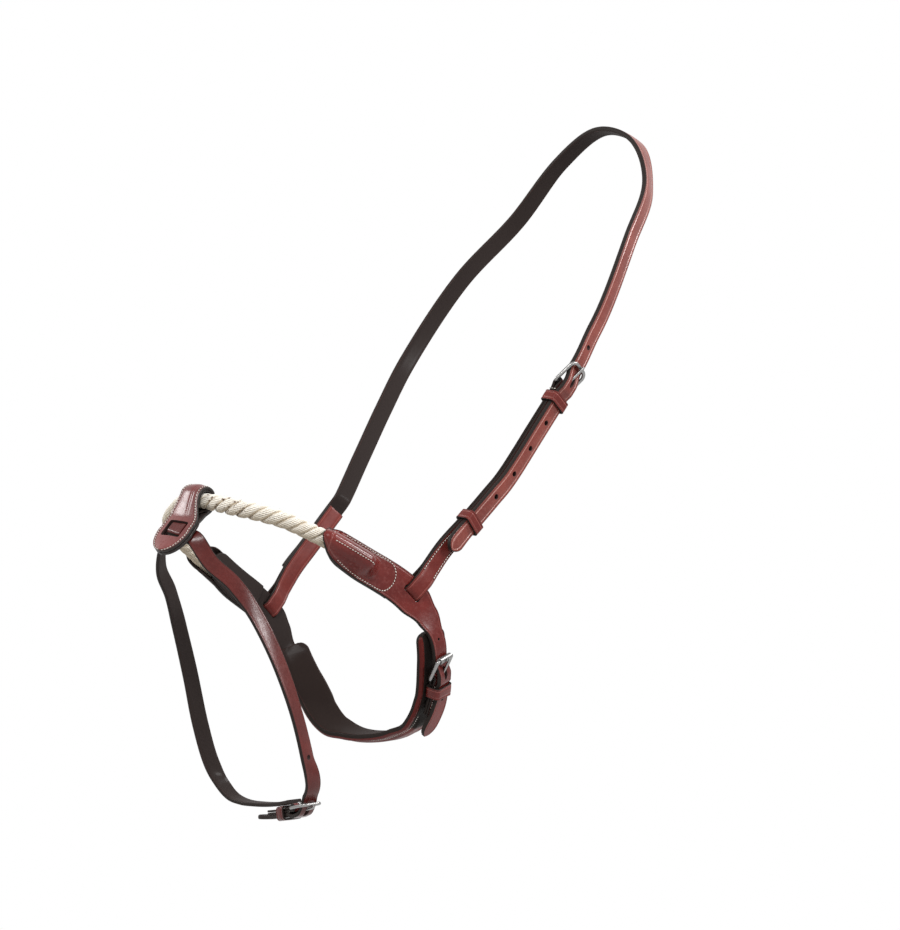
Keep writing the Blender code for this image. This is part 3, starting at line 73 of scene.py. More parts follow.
Socket = bpy.types.NodeSocket
Material = bpy.types.Material
Piece = bpy.types.Object
Triple = tuple[float, float, float]
Colour = Triple
Station = tuple[Triple, Triple]
WHITE: Colour = (1.0, 1.0, 1.0)
Place = Callable[[np.ndarray], np.ndarray]
Level = Callable[[float, float], float]
Edge = Callable[[float], float]

# The inner face of the noseband from the middle of the nose to the middle of the jaw, near side:
# points in millimetres, each with the way the strap faces there
RING_STATIONS: list[Station] = [
    ((0, -364, -313), (0, -0.77, 0.64)),
    ((18, -360, -316), (0.25, -0.76, 0.6)),
    ((35, -353, -320), (0.55, -0.7, 0.45)),
    ((51, -338, -325), (0.88, -0.42, 0.25)),
    ((60, -318, -333), (1, -0.15, 0.05)),
    ((70, -284, -350), (1, -0.06, -0.02)),
    ((75, -251, -367), (0.985, -0.16, -0.04)),
    ((75.5, -234.5, -383), (1, -0.06, -0.03)),
    ((73, -228, -397), (1, 0.15, -0.15)),
    ((68.5, -225, -409.5), (1, 0.3, -0.25)),
    ((62.5, -221, -422), (1, 0.35, -0.3)),
    ((59.3, -219, -428.8), (1, 0.35, -0.35)),
    ((55.5, -217.5, -436), (1, 0.3, -0.5)),
    ((45, -215, -446.5), (0.7, 0.25, -0.7)),
    ((25, -212, -453), (0.2, 0.15, -1)),
    ((0, -211, -455), (0, 0.15, -1)),
]
# Where the near billet leaves the jaw behind its keeper and hangs free
BILLET_STATIONS: list[Station] = [
    ((46.5, -219.5, -450), (1, 0.3, -0.5)),
    ((33, -229, -466), (1, 0.3, -0.5)),
]
BILLET_LEAVES_RING_AFTER = 13

# The middle of the head strap's near half, from the poll down to the noseband's slot
POLL_FACING = (0, 0.1, 1)
HEAD_STATIONS: list[Station] = [
    ((42, -2.5, -15), (0.45, 0.3, 1)),
    ((72, -20, -57), (1, 0.6, 0.4)),
    ((93, -58, -105), (1, 0.35, 0.1)),
    ((105.5, -100, -170), (1, 0.28, 0)),
    ((102.5, -125.5, -209), (1, 0.28, 0)),
    ((96.5, -151.5, -249), (1, 0.28, 0)),
    ((90.3, -177, -287.5), (1, 0.28, 0)),
    ((88.6, -188.2, -300), (1, 0.28, 0)),
    ((86.3, -205.4, -318.4), (1, 0.28, 0)),
    ((83.6, -222.9, -336.8), (1, 0.08, -0.02)),
]

# The inner face of the flash strap's near half below the loop
FLASH_STATIONS: list[Station] = [
    ((27, -373, -352), (0.85, -0.5, 0.2)),
    ((35, -360, -366), (0.92, -0.35, 0.2)),
    ((43, -347, -388), (1, -0.05, 0.1)),
    ((49.5, -333, -420), (1, 0.12, 0.03)),
    ((53, -322.5, -451), (1, 0.28, 0)),
    ((52, -313.5, -477), (1, 0.3, -0.15)),
    ((48, -307.5, -490), (0.9, 0.1, -0.5)),
    ((40, -304.5, -498.5), (0.6, 0.1, -0.8)),
    ((28, -303, -502.5), (0.2, 0.1, -1)),
    ((14, -301.5, -504), (0.05, 0.1, -1)),
    ((0, -300.5, -504.5), (0, 0.1, -1)),
]


class Body(str, Enum):
    """The rigid bodies that the pieces ride on."""

    HEADPIECE = "headpiece"
    RUNNER = "runner"
    HEAD_TONGUE = "head_tongue"
    NOSEBAND = "noseband"
    CHIN_ROLLER = "chin_roller"
    CHIN_TONGUE = "chin_tongue"
    FLASH = "flash"
    FLASH_TONGUE = "flash_tongue"


class Slot(str, Enum):
    """The record's material slots."""

    HEAD = "head_leather"
    NOSEBAND = "noseband_leather"
    LOOP = "loop_leather"
    LINING = "lining_leather"
    ROPE = "rope"
    STEEL = "steel"


def ease(share: float) -> float:
    """Return a share from 0 to 1, eased at both ends."""
    share = min(max(share, 0.0), 1.0)
    return share * share * (3.0 - 2.0 * share)


def eased(stops: Sequence[tuple[float, float]], at: float) -> float:
    """Read a value that eases from stop to stop.

    Args:
        stops: Places in rising order, each with its value.
        at: The place to read.

    Returns:
        The value at the place.
    """
    if at <= stops[0][0]:
        return stops[0][1]
    for (start, low), (end, high) in zip(stops, stops[1:]):
        if at <= end:
            return low + (high - low) * ease((at - start) / (end - start))
    return stops[-1][1]


def spread(start: float, end: float, step: float) -> list[float]:
    """Return even places from start to end, no further apart than about a step."""
    count = max(1, round((end - start) / step))
    return [start + (end - start) * number / count for number in range(count + 1)]


def stretches(*parts: tuple[float, float, float]) -> list[float]:
    """Join stretches of even places into one list.

    Args:
        parts: Each stretch as its start, its end and its step.

    Returns:
        The places in rising order, without near doubles.
    """
    places: list[float] = []
    for start, end, step in parts:
        for place in spread(start, end, step):
            if not places or place - places[-1] > 0.15 * MM:
                places.append(place)
    return places


def metres(stations: Sequence[Station]) -> list[Station]:
    """Turn stations in millimetres into metres."""
    return [(tuple(value * MM for value in point), facing) for point, facing in stations]


def mirrored(stations: Sequence[Station]) -> list[Station]:
    """Return the stations of the other side of the horse, in the opposite order."""
    return [
        ((-point[0], *point[1:]), (-facing[0], *facing[1:])) for point, facing in reversed(stations)
    ]


def unit(vectors: np.ndarray) -> np.ndarray:
    """Scale vectors to length one."""
    return vectors / np.linalg.norm(vectors, axis=-1, keepdims=True)


def moved(flat: np.ndarray, matrix: Matrix) -> np.ndarray:
    """Move points out of a matrix's own coordinates."""
    values = np.array(matrix)
    return flat @ values[:3, :3].T + values[:3, 3]


def arc(x: float, y: float, radius: float, degrees: Sequence[float]) -> list[tuple[float, float]]:
    """Return the points of a circle at some angles."""
    angles = [math.radians(angle) for angle in degrees]
    return [(x + radius * math.cos(angle), y + radius * math.sin(angle)) for angle in angles]


def dimmed(colour: Colour, share: float) -> Colour:
    """Return a darker shade of a colour."""
    return tuple(value * share for value in colour)


class Route:
    """A smooth line through stations, with the way a strap on it faces."""

    SAMPLES_A_SPAN = 24

    def __init__(self, stations: Sequence[Station], closed: bool = False, zero: int = 0) -> None:
        """Sample the line.

        Args:
            stations: The points that the line goes through, in metres, with their facings.
            closed: Whether the line runs back to its first station.
            zero: The number of the station from which lengths are measured.
        """
        points = np.array([point for point, _ in stations], float)
        facings = unit(np.array([facing for _, facing in stations], float))
        self.closed = closed
        shares = np.arange(self.SAMPLES_A_SPAN) / self.SAMPLES_A_SPAN
        places = []
        outs = []
        for span in range(len(points) if closed else len(points) - 1):
            corners = [self._station(points, span + offset) for offset in (-1, 0, 1, 2)]
            places.append(self._span(np.array(corners), shares))
            turn = np.array([ease(share) for share in shares])[:, None]
            outs.append(facings[span] * (1 - turn) + facings[(span + 1) % len(facings)] * turn)
        last = 0 if closed else -1
        self.at = np.concatenate([*places, points[last][None]])
        facing = np.concatenate([*outs, facings[last][None]])
        steps = np.linalg.norm(np.diff(self.at, axis=0), axis=1)
        self.lengths = np.concatenate(([0.0], np.cumsum(steps)))
        self.total = float(self.lengths[-1])
        self.start = float(self.lengths[zero * self.SAMPLES_A_SPAN])
        before = np.concatenate((self.at[-2:-1] if closed else self.at[:1], self.at[:-1]))
        after = np.concatenate((self.at[1:], self.at[1:2] if closed else self.at[-1:]))
        self.forward = unit(after - before)
        self.out = self._square(facing, self.forward)

    def _station(self, points: np.ndarray, number: int) -> np.ndarray:
        """Return a station's point, running on past the ends of an open line."""
        if self.closed:
            return points[number % len(points)]
        if number < 0:
            return points[0] * 2.0 - points[1]
        if number >= len(points):
            return points[-1] * 2.0 - points[-2]
        return points[number]

    @staticmethod
    def _span(corners: np.ndarray, shares: np.ndarray) -> np.ndarray:
        """Return points of the centripetal curve between the two middle corners."""
        gaps = np.sqrt(np.linalg.norm(np.diff(corners, axis=0), axis=1))
        knots = np.concatenate(([0.0], np.cumsum(gaps)))
        at = (knots[1] + (knots[2] - knots[1]) * shares)[:, None]
        line = [np.repeat(corner[None], len(shares), axis=0) for corner in corners]
        for lefts, rights in (((0, 1, 2), (1, 2, 3)), ((0, 1), (2, 3)), ((1,), (2,))):
            line = [
                line[i] + (line[i + 1] - line[i]) * (at - knots[left]) / (knots[right] - knots[left])
                for i, (left, right) in enumerate(zip(lefts, rights))
            ]
        return line[0]

    @staticmethod
    def _square(facing: np.ndarray, forward: np.ndarray) -> np.ndarray:
        """Turn facings square to the line."""
        lean = np.sum(facing * forward, axis=1, keepdims=True)
        return unit(facing - forward * lean)

    def frames(self, along: np.ndarray) -> tuple[np.ndarray, ...]:
        """Return points of the line with its directions there.

        Args:
            along: Lengths along the route.

        Returns:
            The points, and the forward, across and outward directions.
        """
        length = self.start + along
        if self.closed:
            length = length % self.total
        length = np.clip(length, 0.0, self.total)
        low = np.clip(np.searchsorted(self.lengths, length, "right") - 1, 0, len(self.lengths) - 2)
        share = ((length - self.lengths[low]) / (self.lengths[low + 1] - self.lengths[low]))[:, None]

        def between(values: np.ndarray) -> np.ndarray:
            """Return a value between two samples."""
            return values[low] * (1 - share) + values[low + 1] * share

        forward = unit(between(self.forward))
        out = self._square(between(self.out), forward)
        return between(self.at), forward, np.cross(out, forward), out

    def place(self, flat: np.ndarray) -> np.ndarray:
        """Lay flat points (along, across, out) on the route, straight on past an open end."""
        at, forward, across, out = self.frames(flat[:, 0])
        past = np.zeros(len(flat))
        if not self.closed:
            length = self.start + flat[:, 0]
            past = np.maximum(length - self.total, 0.0) + np.minimum(length, 0.0)
        return at + forward * past[:, None] + across * flat[:, 1:2] + out * flat[:, 2:3]

    def frame(self, along: float) -> tuple[Vector, ...]:
        """Return one point of the line with its forward, across and outward directions."""
        return tuple(Vector(values[0]) for values in self.frames(np.array([along])))

    def matrix(self, along: float, out: float) -> Matrix:
        """Return the matrix of the strap's coordinates at a place and a level over the line."""
        at, forward, across, outward = self.frame(along)
        axes = Matrix((forward, across, outward)).transposed().to_4x4()
        return Matrix.Translation(at) @ axes @ Matrix.Translation((0, 0, out))


@dataclass(frozen=True)
class Fit:
    """The sizes that the sub-assemblies share."""

    gap: float = 0.3 * MM
    play: float = 0.5 * MM
    rope: float = 11.6 * MM
    rope_squeeze: float = 0.6 * MM
    rope_bend: float = 0.5 * MM
    rope_squeeze_fade: float = 6.0 * MM
    lining: float = 2.0 * MM
    cheek: float = 3.0 * MM
    cheek_half: float = 12.2 * MM
    slot_at: float = 164.0 * MM
    slot_strip: float = 7.8 * MM
    slot_depth: float = 6.2 * MM
    slot_side_play: float = 1.2 * MM
    slot_to_rise: float = 10.0 * MM
    strap_width: float = 13.0 * MM
    hanger_ply: float = 2.1 * MM
    lean: float = math.radians(4.0)
    swing: float = math.radians(4.0)
    loop_at: float = 8.0 * MM
    loop_ply: float = 2.4 * MM
    loop_half: float = 13.0 * MM
    loop_top_half: float = 7.9 * MM
    loop_face: float = 3.8 * MM
    loop_lean: float = 3.2 * MM
    flash_drop: float = 29.0 * MM
    flash_width: float = 11.4 * MM
    flash_thickness: float = 2.8 * MM
    flash_sag: float = 0.8 * MM

    @property
    def rope_height(self) -> float:
        """Level of the rope's centre over the noseband's inner face."""
        return self.lining + self.gap + self.rope / 2

    @property
    def cheek_level(self) -> float:
        """Level of the cheek pieces' inner face."""
        return self.lining + self.gap

    @property
    def strip_edge(self) -> float:
        """Where the slot ends under the strip that the hanger is folded round."""
        return self.cheek_half - self.slot_strip

    @property
    def hanger_half(self) -> float:
        """Half the thickness of a hanger's two plies."""
        return self.hanger_ply + self.gap / 2

    @property
    def fold_half(self) -> float:
        """Half the distance between the plies' middles round the slot's strip."""
        return self.cheek / 2 + self.play + self.hanger_ply / 2

    @property
    def fold_drop(self) -> float:
        """How far above the strip's lower edge the hanger's fold is centred."""
        clear = (self.fold_half - self.hanger_ply / 2) * math.cos(math.radians(15.0))
        reach = math.sqrt(clear ** 2 - (self.cheek / 2) ** 2)
        return reach - self.strap_width / 2 * math.sin(self.lean + self.swing) - self.gap

    @property
    def loop_back(self) -> float:
        """Level of the back of the flash loop, from the rope's centre."""
        return self.loop_face - 2 * self.loop_ply


class Layout:
    """The routes that the straps follow and the flash loop's own frame."""

    def __init__(self, fit: Fit) -> None:
        """Lay the routes out, the headpiece's from the noseband's slots and the flash's from its loop."""
        near = metres(RING_STATIONS)
        self.ring = Route(near + mirrored(near[1:-1]), closed=True)
        self.near_cheek = Route(near[:BILLET_LEAVES_RING_AFTER] + metres(BILLET_STATIONS))
        self.head = self._head_route(fit)
        at, along, across, out = self.ring.frame(fit.loop_at)
        axes = Matrix((-across, along, out)).transposed().to_4x4()
        self.loop = Matrix.Translation(at + out * fit.rope_height) @ axes
        self.flash = self._flash_route(fit)

    def _head_route(self, fit: Fit) -> Route:
        """Return the route from the off slot over the poll to the near slot."""
        at, along, across, out = self.ring.frame(fit.slot_at)
        pivot = at + across * fit.strip_edge + out * (fit.cheek_level + fit.cheek / 2)
        up = across * math.cos(fit.lean) + along * math.sin(fit.lean)
        rises = (fit.cheek_half - fit.strip_edge + 6 * MM, 0.0, -fit.slot_depth)
        slot_end = [(tuple(pivot + up * rise), tuple(out)) for rise in rises]
        near = metres(HEAD_STATIONS) + slot_end
        off = mirrored(near)
        return Route([*off, ((0, 0, fit.hanger_half), POLL_FACING), *near], zero=len(off))

    def _flash_route(self, fit: Fit) -> Route:
        """Return the closed route of the flash strap, measured from the middle of its loop."""
        level = fit.loop_back - 2 * fit.gap - fit.flash_thickness
        side, sag = fit.loop_half - MM, fit.flash_sag
        sags = ((-side, sag), (-side / 2, 0.0), (0.0, 0.0), (side / 2, 0.0), (side, sag))
        out = tuple(self.loop.to_3x3() @ Vector((0, 0, 1)))
        front = []
        for place, low in sags:
            front.append((tuple(self.loop @ Vector((fit.flash_drop, place, level - low))), out))
        near = metres(FLASH_STATIONS)
        return Route([*front, *near, *mirrored(near[:-1])], closed=True, zero=2)

    def place_loop(self, flat: np.ndarray) -> np.ndarray:
        """Move points of the loop's coordinates (down, sideways, out) into the world."""
        return moved(flat, self.loop)


class Graph:
    """Adds nodes to a tree and joins them."""

    def __init__(self, tree: bpy.types.NodeTree) -> None:
        """Start on a tree."""
        self.tree = tree

    def plug(self, node: bpy.types.Node, inputs: dict[Any, Any]) -> None:
        """Set or link a node's inputs, given by name or number. A colour gets its fourth value."""
        for key, value in inputs.items():
            socket = node.inputs[key]
            if isinstance(value, Socket):
                self.tree.links.new(value, socket)
            elif socket.type == "RGBA" and len(value) == 3:
                socket.default_value = (*value, 1.0)
            else:
                socket.default_value = value

    def node(self, kind: str, inputs: dict[Any, Any] | None = None, **settings: Any) -> bpy.types.Node:
        """Add a node.

        Args:
            kind: The node's type.
            inputs: Sockets by name or number, each with a value or another node's output.
            settings: The node's own properties.

        Returns:
            The node.
        """
        node = self.tree.nodes.new(kind)
        for name, value in settings.items():
            setattr(node, name, value)
        self.plug(node, inputs or {})
        return node

    def first(self, kind: str, inputs: dict[Any, Any] | None = None, **settings: Any) -> Socket:
        """Add a node and return its first output."""
        return self.node(kind, inputs, **settings).outputs[0]

    def math(self, operation: str, *values: Any) -> Socket:
        """Return the result of a sum on one, two or three values."""
        return self.first("ShaderNodeMath", dict(enumerate(values)), operation=operation)

    def vector(self, operation: str, *values: Any) -> Socket:
        """Return the result of a sum on vectors."""
        return self.first("ShaderNodeVectorMath", dict(enumerate(values)), operation=operation)

    def scaled(self, vector: Any, scale: Any) -> Socket:
        """Return a vector times a number."""
        return self.first("ShaderNodeVectorMath", {0: vector, "Scale": scale}, operation="SCALE")

    def mix(self, factor: Any, first: Any, second: Any) -> Socket:
        """Return a mix of two colours."""
        return self.node("ShaderNodeMix", {0: factor, 6: first, 7: second}, data_type="RGBA").outputs[2]

    def ramp(self, value: Any, low: float, high: float, start: float = 0.0, end: float = 1.0) -> Socket:
        """Return a value turned from one range into another, eased and kept inside it."""
        inputs = {0: value, 1: low, 2: high, 3: start, 4: end}
        return self.first("ShaderNodeMapRange", inputs, interpolation_type="SMOOTHSTEP")

    def noise(self, vector: Any, scale: float, detail: float = 3.0, rough: float = 0.55) -> Socket:
        """Return a smooth noise from 0 to 1, with a scale in cells to the metre."""
        inputs = {"Vector": vector, "Scale": scale, "Detail": detail, "Roughness": rough}
        return self.first("ShaderNodeTexNoise", inputs)

    def cells(self, vector: Any, scale: float) -> Socket:
        """Return the distance from the nearest of many scattered points, so many to the metre."""
        return self.first("ShaderNodeTexVoronoi", {"Vector": vector, "Scale": scale})

    def bump(self, height: Any, strength: float, distance: float) -> Socket:
        """Return the normals of a fine relief."""
        return self.first("ShaderNodeBump", {"Height": height, "Strength": strength, "Distance": distance})

    def layer(self, name: str, output: str = "Vector") -> Socket:
        """Return what the mesh keeps at each point under a name, for a material."""
        return self.node("ShaderNodeAttribute", attribute_name=name).outputs[output]

    def coordinate(self, output: str = "Object") -> Socket:
        """Return a texture coordinate."""
        return self.node("ShaderNodeTexCoord").outputs[output]

    def axis(self, vector: Any, name: str) -> Socket:
        """Return one value of a vector."""
        return self.node("ShaderNodeSeparateXYZ", {0: vector}).outputs[name]


def shader_of(name: str) -> tuple[Material, Graph, bpy.types.Node]:
    """Start a new material.

    Args:
        name: The material's name.

    Returns:
        The material, the graph of its nodes and its Principled shader.
    """
    material = bpy.data.materials.new(name)
    material.use_nodes = True
    return material, Graph(material.node_tree), material.node_tree.nodes["Principled BSDF"]


@dataclass(frozen=True)
class LeatherFinish:
    """Dyed and waxed bridle leather with painted edges, a rough inner side and a painted highlight along its
    creases.
    """

    name: str
    face: Colour
    deep: Colour
    # light: the lighter tone of the random mottles, and also the colour of the painted crease highlight
    light: Colour
    paint: Colour = (0.020, 0.015, 0.013)
    flesh: Colour = (0.020, 0.012, 0.010)
    roughness: float = 0.27
    coat: float = 0.03
    specular: float = 0.24
    crease_highlight: float = 0.15
    grain: float = 0.16
    rim: float = 0.5
    clouds: float = 34.0
    mottles: float = 420.0
    pores: float = 1500.0
    naps: float = 900.0
    wrinkles: float = 260.0
    relief: float = 0.35 * MM

    def build(self) -> Material:
        """Return the material, which reads the strap's flat coordinates and its trim."""
        material, graph, shader = shader_of(self.name)
        flat = graph.layer("flat")
        trim = graph.layer("trim")
        near = graph.axis(trim, "X")
        side = graph.ramp(graph.axis(trim, "Y"), 0.35, 0.75)
        under = graph.ramp(graph.axis(trim, "Z"), 0.35, 0.75)
        mottle = graph.noise(flat, self.mottles, 5.0, 0.65)
        colour = graph.mix(graph.ramp(graph.noise(flat, self.clouds, 4.0), 0.3, 0.72), self.deep, self.face)
        colour = graph.mix(graph.ramp(mottle, 0.45, 0.85, 0.0, 0.16), colour, self.light)
        colour = graph.mix(graph.ramp(near, 0.25, 1.0, 0.0, self.rim), colour, self.deep)
        # Painted highlight: the light colour is mixed in along the pressed crease line
        highlight_line = graph.math("ABSOLUTE", graph.math("SUBTRACT", near, HIGHLIGHT_AT))
        colour = graph.mix(graph.ramp(highlight_line, 0.05, 0.14, self.crease_highlight, 0.0), colour, self.light)
        nap = graph.mix(graph.noise(flat, self.naps, 6.0, 0.7), dimmed(self.flesh, 0.6), self.flesh)
        colour = graph.mix(under, colour, nap)
        colour = graph.mix(side, colour, self.paint)
        polish = graph.ramp(mottle, 0.25, 0.8, self.roughness - 0.06, self.roughness + 0.1)
        rough = graph.math("MAXIMUM", polish, graph.math("MULTIPLY", under, 0.85))
        rough = graph.math("MAXIMUM", rough, graph.math("MULTIPLY", side, 0.55))
        folds = graph.noise(graph.vector("MULTIPLY", flat, (1.0, 2.2, 2.2)), self.wrinkles, 3.0)
        pores = graph.math("MULTIPLY", graph.cells(flat, self.pores), 0.5)
        height = graph.math("ADD", pores, graph.math("MULTIPLY", folds, 0.6))
        graph.plug(shader, {
            "Base Color": colour, "Roughness": rough, "Normal": graph.bump(height, self.grain, self.relief),
            "Coat Weight": self.coat, "Coat Roughness": 0.2,
            "Specular IOR Level": graph.ramp(side, 0.0, 1.0, self.specular, self.specular / 3),
        })
        return material


@dataclass(frozen=True)
class PunchedFinish:
    """The raw, dark wall of a punched hole or a cut slot."""

    name: str = "punched_leather"
    colour: Colour = (0.040, 0.012, 0.009)
    fibres: float = 2400.0

    def build(self) -> Material:
        """Return the material."""
        material, graph, shader = shader_of(self.name)
        fibres = graph.noise(graph.coordinate(), self.fibres, 4.0)
        graph.plug(shader, {
            "Base Color": graph.mix(fibres, dimmed(self.colour, 0.5), self.colour), "Roughness": 0.8,
            "Normal": graph.bump(fibres, 0.4, 0.1 * MM),
        })
        return material


@dataclass(frozen=True)
class RopeFinish:
    """Undyed cotton yarn, with a painted shade of tan between the strands and underneath, and random tan
    patches.
    """

    name: str = "cotton_rope"
    crest: Colour = (0.90, 0.86, 0.78)
    tan_tone_and_shade: Colour = (0.50, 0.40, 0.27)
    speck: Colour = (0.13, 0.075, 0.045)
    speck_from: float = 14.0 * MM
    speck_to: float = 42.0 * MM
    specks: float = 480.0
    patches: float = 160.0

    def build(self) -> Material:
        """Return the material, which reads how far out each yarn lies in its strand."""
        material, graph, shader = shader_of(self.name)
        crest = graph.layer("crest", "Fac")
        here = graph.coordinate()
        fibres = graph.noise(graph.layer("spun"), 1.0, 5.0, 0.7)
        # Painted shade: yarns that lie deep in their strand take the tan colour
        colour = graph.mix(graph.ramp(crest, -0.9, 0.6), self.tan_tone_and_shade, self.crest)
        colour = graph.mix(graph.ramp(fibres, 0.35, 0.75, 0.0, 0.3), colour, dimmed(self.crest, 0.72))
        patches = graph.ramp(graph.noise(here, self.patches), 0.4, 0.8, 0.0, 0.3)
        colour = graph.mix(patches, colour, self.tan_tone_and_shade)
        # Painted shade: faces that look down take the tan colour, darker towards the underside
        down = graph.axis(graph.coordinate("Normal"), "Z")
        colour = graph.mix(graph.ramp(down, -0.75, 0.35, 0.85, 0.0), colour, self.tan_tone_and_shade)
        across = graph.axis(here, "X")
        near = graph.math(
            "MULTIPLY", graph.ramp(across, self.speck_from, self.speck_from + 3 * MM),
            graph.ramp(across, self.speck_to, self.speck_to + 12 * MM, 1.0, 0.0),
        )
        dots = graph.math(
            "MULTIPLY", graph.ramp(graph.cells(here, self.specks), 0.26, 0.42, 1.0, 0.0),
            graph.ramp(crest, 0.25, 0.95, 1.0, 0.0),
        )
        colour = graph.mix(graph.math("MULTIPLY", dots, near), colour, self.speck)
        graph.plug(shader, {
            "Base Color": colour, "Roughness": 0.88, "Normal": graph.bump(fibres, 0.6, 0.25 * MM),
            "Specular IOR Level": 0.25, "Sheen Weight": 0.25, "Sheen Roughness": 0.5,
        })
        return material


@dataclass(frozen=True)
class ThreadFinish:
    """Waxed sewing thread."""

    name: str = "waxed_thread"
    colour: Colour = (0.80, 0.76, 0.68)
    fibres: float = 2600.0

    def build(self) -> Material:
        """Return the material."""
        material, graph, shader = shader_of(self.name)
        fibres = graph.noise(graph.coordinate(), self.fibres, 4.0, 0.7)
        colour = graph.mix(graph.ramp(fibres, 0.35, 0.75), dimmed(self.colour, 0.72), self.colour)
        graph.plug(shader, {
            "Base Color": colour, "Roughness": 0.6, "Normal": graph.bump(fibres, 0.5, 0.1 * MM),
        })
        return material


@dataclass(frozen=True)
class SteelFinish:
    """Polished stainless steel with fine wiping marks."""

    name: str = "stainless_steel"
    colour: Colour = (0.25, 0.245, 0.24)
    roughness: float = 0.31
    marks: float = 700.0

    def build(self) -> Material:
        """Return the material."""
        material, graph, shader = shader_of(self.name)
        stretched = graph.vector("MULTIPLY", graph.coordinate(), (1.0, 6.0, 1.0))
        marks = graph.noise(stretched, self.marks, 4.0)
        graph.plug(shader, {
            "Base Color": graph.mix(graph.ramp(marks, 0.3, 0.8), dimmed(self.colour, 0.85), self.colour),
            "Metallic": 1.0, "Normal": graph.bump(marks, 0.08, 0.1 * MM),
            "Roughness": graph.ramp(marks, 0.3, 0.7, self.roughness - 0.06, self.roughness + 0.12),
        })
        return material


@dataclass(frozen=True)
class Finishes:
    """Every finish of the object, built once."""

    head: Material
    noseband: Material
    loop: Material
    keeper: Material
    flash: Material
    guard: Material
    lining: Material
    punched: Material
    rope: Material
    thread: Material
    steel: Material

    @classmethod
    def build(cls) -> "Finishes":
        """Return the built finishes."""
        leathers = {
            "head": LeatherFinish(
                "head_strap_leather", (0.215, 0.047, 0.034), (0.145, 0.027, 0.020), (0.50, 0.25, 0.21),
                crease_highlight=0.7,
            ),
            "noseband": LeatherFinish(
                "noseband_leather", (0.155, 0.018, 0.014), (0.095, 0.010, 0.008), (0.40, 0.15, 0.13),
                roughness=0.24, coat=0.05, specular=0.2, crease_highlight=0.3, grain=0.10,
            ),
            "loop": LeatherFinish(
                "loop_leather", (0.185, 0.038, 0.034), (0.11, 0.018, 0.016), (0.36, 0.15, 0.14),
                roughness=0.3, coat=0.2, specular=0.4,
            ),
            "keeper": LeatherFinish(
                "keeper_leather", (0.17, 0.028, 0.022), (0.11, 0.016, 0.013), (0.36, 0.12, 0.10),
                roughness=0.36, specular=0.12, crease_highlight=0.5,
            ),
            "flash": LeatherFinish(
                "flash_strap_leather", (0.110, 0.014, 0.011), (0.072, 0.009, 0.007), (0.22, 0.055, 0.045),
                coat=0.05, specular=0.25,
            ),
            "guard": LeatherFinish(
                "chin_strap_leather", (0.135, 0.016, 0.012), (0.080, 0.009, 0.007), (0.22, 0.050, 0.040),
                roughness=0.42, specular=0.10,
            ),
            "lining": LeatherFinish(
                "lining_leather", (0.060, 0.034, 0.028), (0.040, 0.024, 0.020), (0.075, 0.045, 0.038),
                roughness=0.5, coat=0.0,
            ),
        }
        return cls(
            **{name: leather.build() for name, leather in leathers.items()}, punched=PunchedFinish().build(),
            rope=RopeFinish().build(), thread=ThreadFinish().build(), steel=SteelFinish().build(),
        )


@dataclass
class Ring:
    """One closed outline across a piece, with how the leather is trimmed at each of its points.

    The trim's three values are the nearness of the edge, which marks painted highlight lines too, the edge
    paint, which carries painted shade too, and the inner side.
    """

    points: np.ndarray
    trim: np.ndarray


@dataclass(frozen=True)
class EdgeStyle:
    """How the edges of a piece of leather are worked."""

    rounding: float = 0.9 * MM
    inset: float = 2.0 * MM
    depth: float = 0.22 * MM
    width: float = 0.5 * MM
    columns: int = 4
    fade: float = 2.6 * MM
    painted: float = 1.0

    def outline(self, low: float, high: float, top: Edge, bottom: Edge, crease: float = 1.0) -> Ring:
        """Draw a cross-section between two edges.

        Args:
            low: The place of the lower edge across the strap.
            high: The place of the upper edge.
            top: The level of the outer face by the place across.
            bottom: The level of the inner face by the place across.
            crease: How deep the creases are pressed here, from 0 to 1.

        Returns:
            The outline's points, as (across, out, 0), and its trim.
        """
        offsets = np.array([
            self.rounding, self.inset - self.width, self.inset - self.width / 2, self.inset,
            self.inset + self.width / 2, self.inset + self.width,
        ])
        offsets = offsets * min(1.0, 0.46 * (high - low) / offsets[-1])
        left = low + offsets
        right = high - offsets[::-1]
        middle = np.linspace(left[-1], right[0], self.columns + 2)[1:-1]
        across = np.concatenate((left, middle, right))
        press = np.minimum(np.abs(across - left[3]), np.abs(across - right[-4])) / self.width
        dip = self.depth * crease * np.cos(np.minimum(press, 1.0) * math.pi / 2) ** 2
        upper = np.array([top(place) for place in across]) - dip
        near = 1.0 - np.minimum(np.minimum(across - low, high - across) / self.fade, 1.0)
        inner_points = 5
        lower_across = np.linspace(right[-1], left[0], inner_points)
        lower = np.array([bottom(place) for place in lower_across])
        rows = [(across, upper, near, np.zeros(len(across)), 0.0)]
        rows.append(self._edge(right[-1], high, upper[-1], lower[0], 1))
        rows.append((lower_across, lower, np.full(inner_points, 0.6), np.zeros(inner_points), 1.0))
        rows.append(self._edge(left[0], low, upper[0], lower[-1], -1))
        points = []
        trim = []
        for places, levels, rim, paint, inner in rows:
            points.append(np.stack((places, levels, np.zeros(len(places))), axis=1))
            trim.append(np.stack((rim, paint, np.full(len(places), inner)), axis=1))
        return Ring(np.concatenate(points), np.concatenate(trim))

    def _edge(self, start: float, end: float, top: float, bottom: float, turn: int) -> tuple:
        """Return the points of a rounded edge, downwards on the upper side and upwards on the lower."""
        angles = np.radians(np.arange(1, 8) * 22.5)
        sides = np.sin(angles) ** 0.8
        levels = np.sign(np.cos(angles)) * np.abs(np.cos(angles)) ** 0.8 * turn
        paint = np.where(levels < 2.0 * self.painted - 0.99, 1.0, 0.0)
        places = start + (end - start) * sides
        return places, (top + bottom) / 2 + (top - bottom) / 2 * levels, np.ones(7), paint, 0.0


PLAIN = EdgeStyle(inset=1.7 * MM, depth=0.0, columns=3)


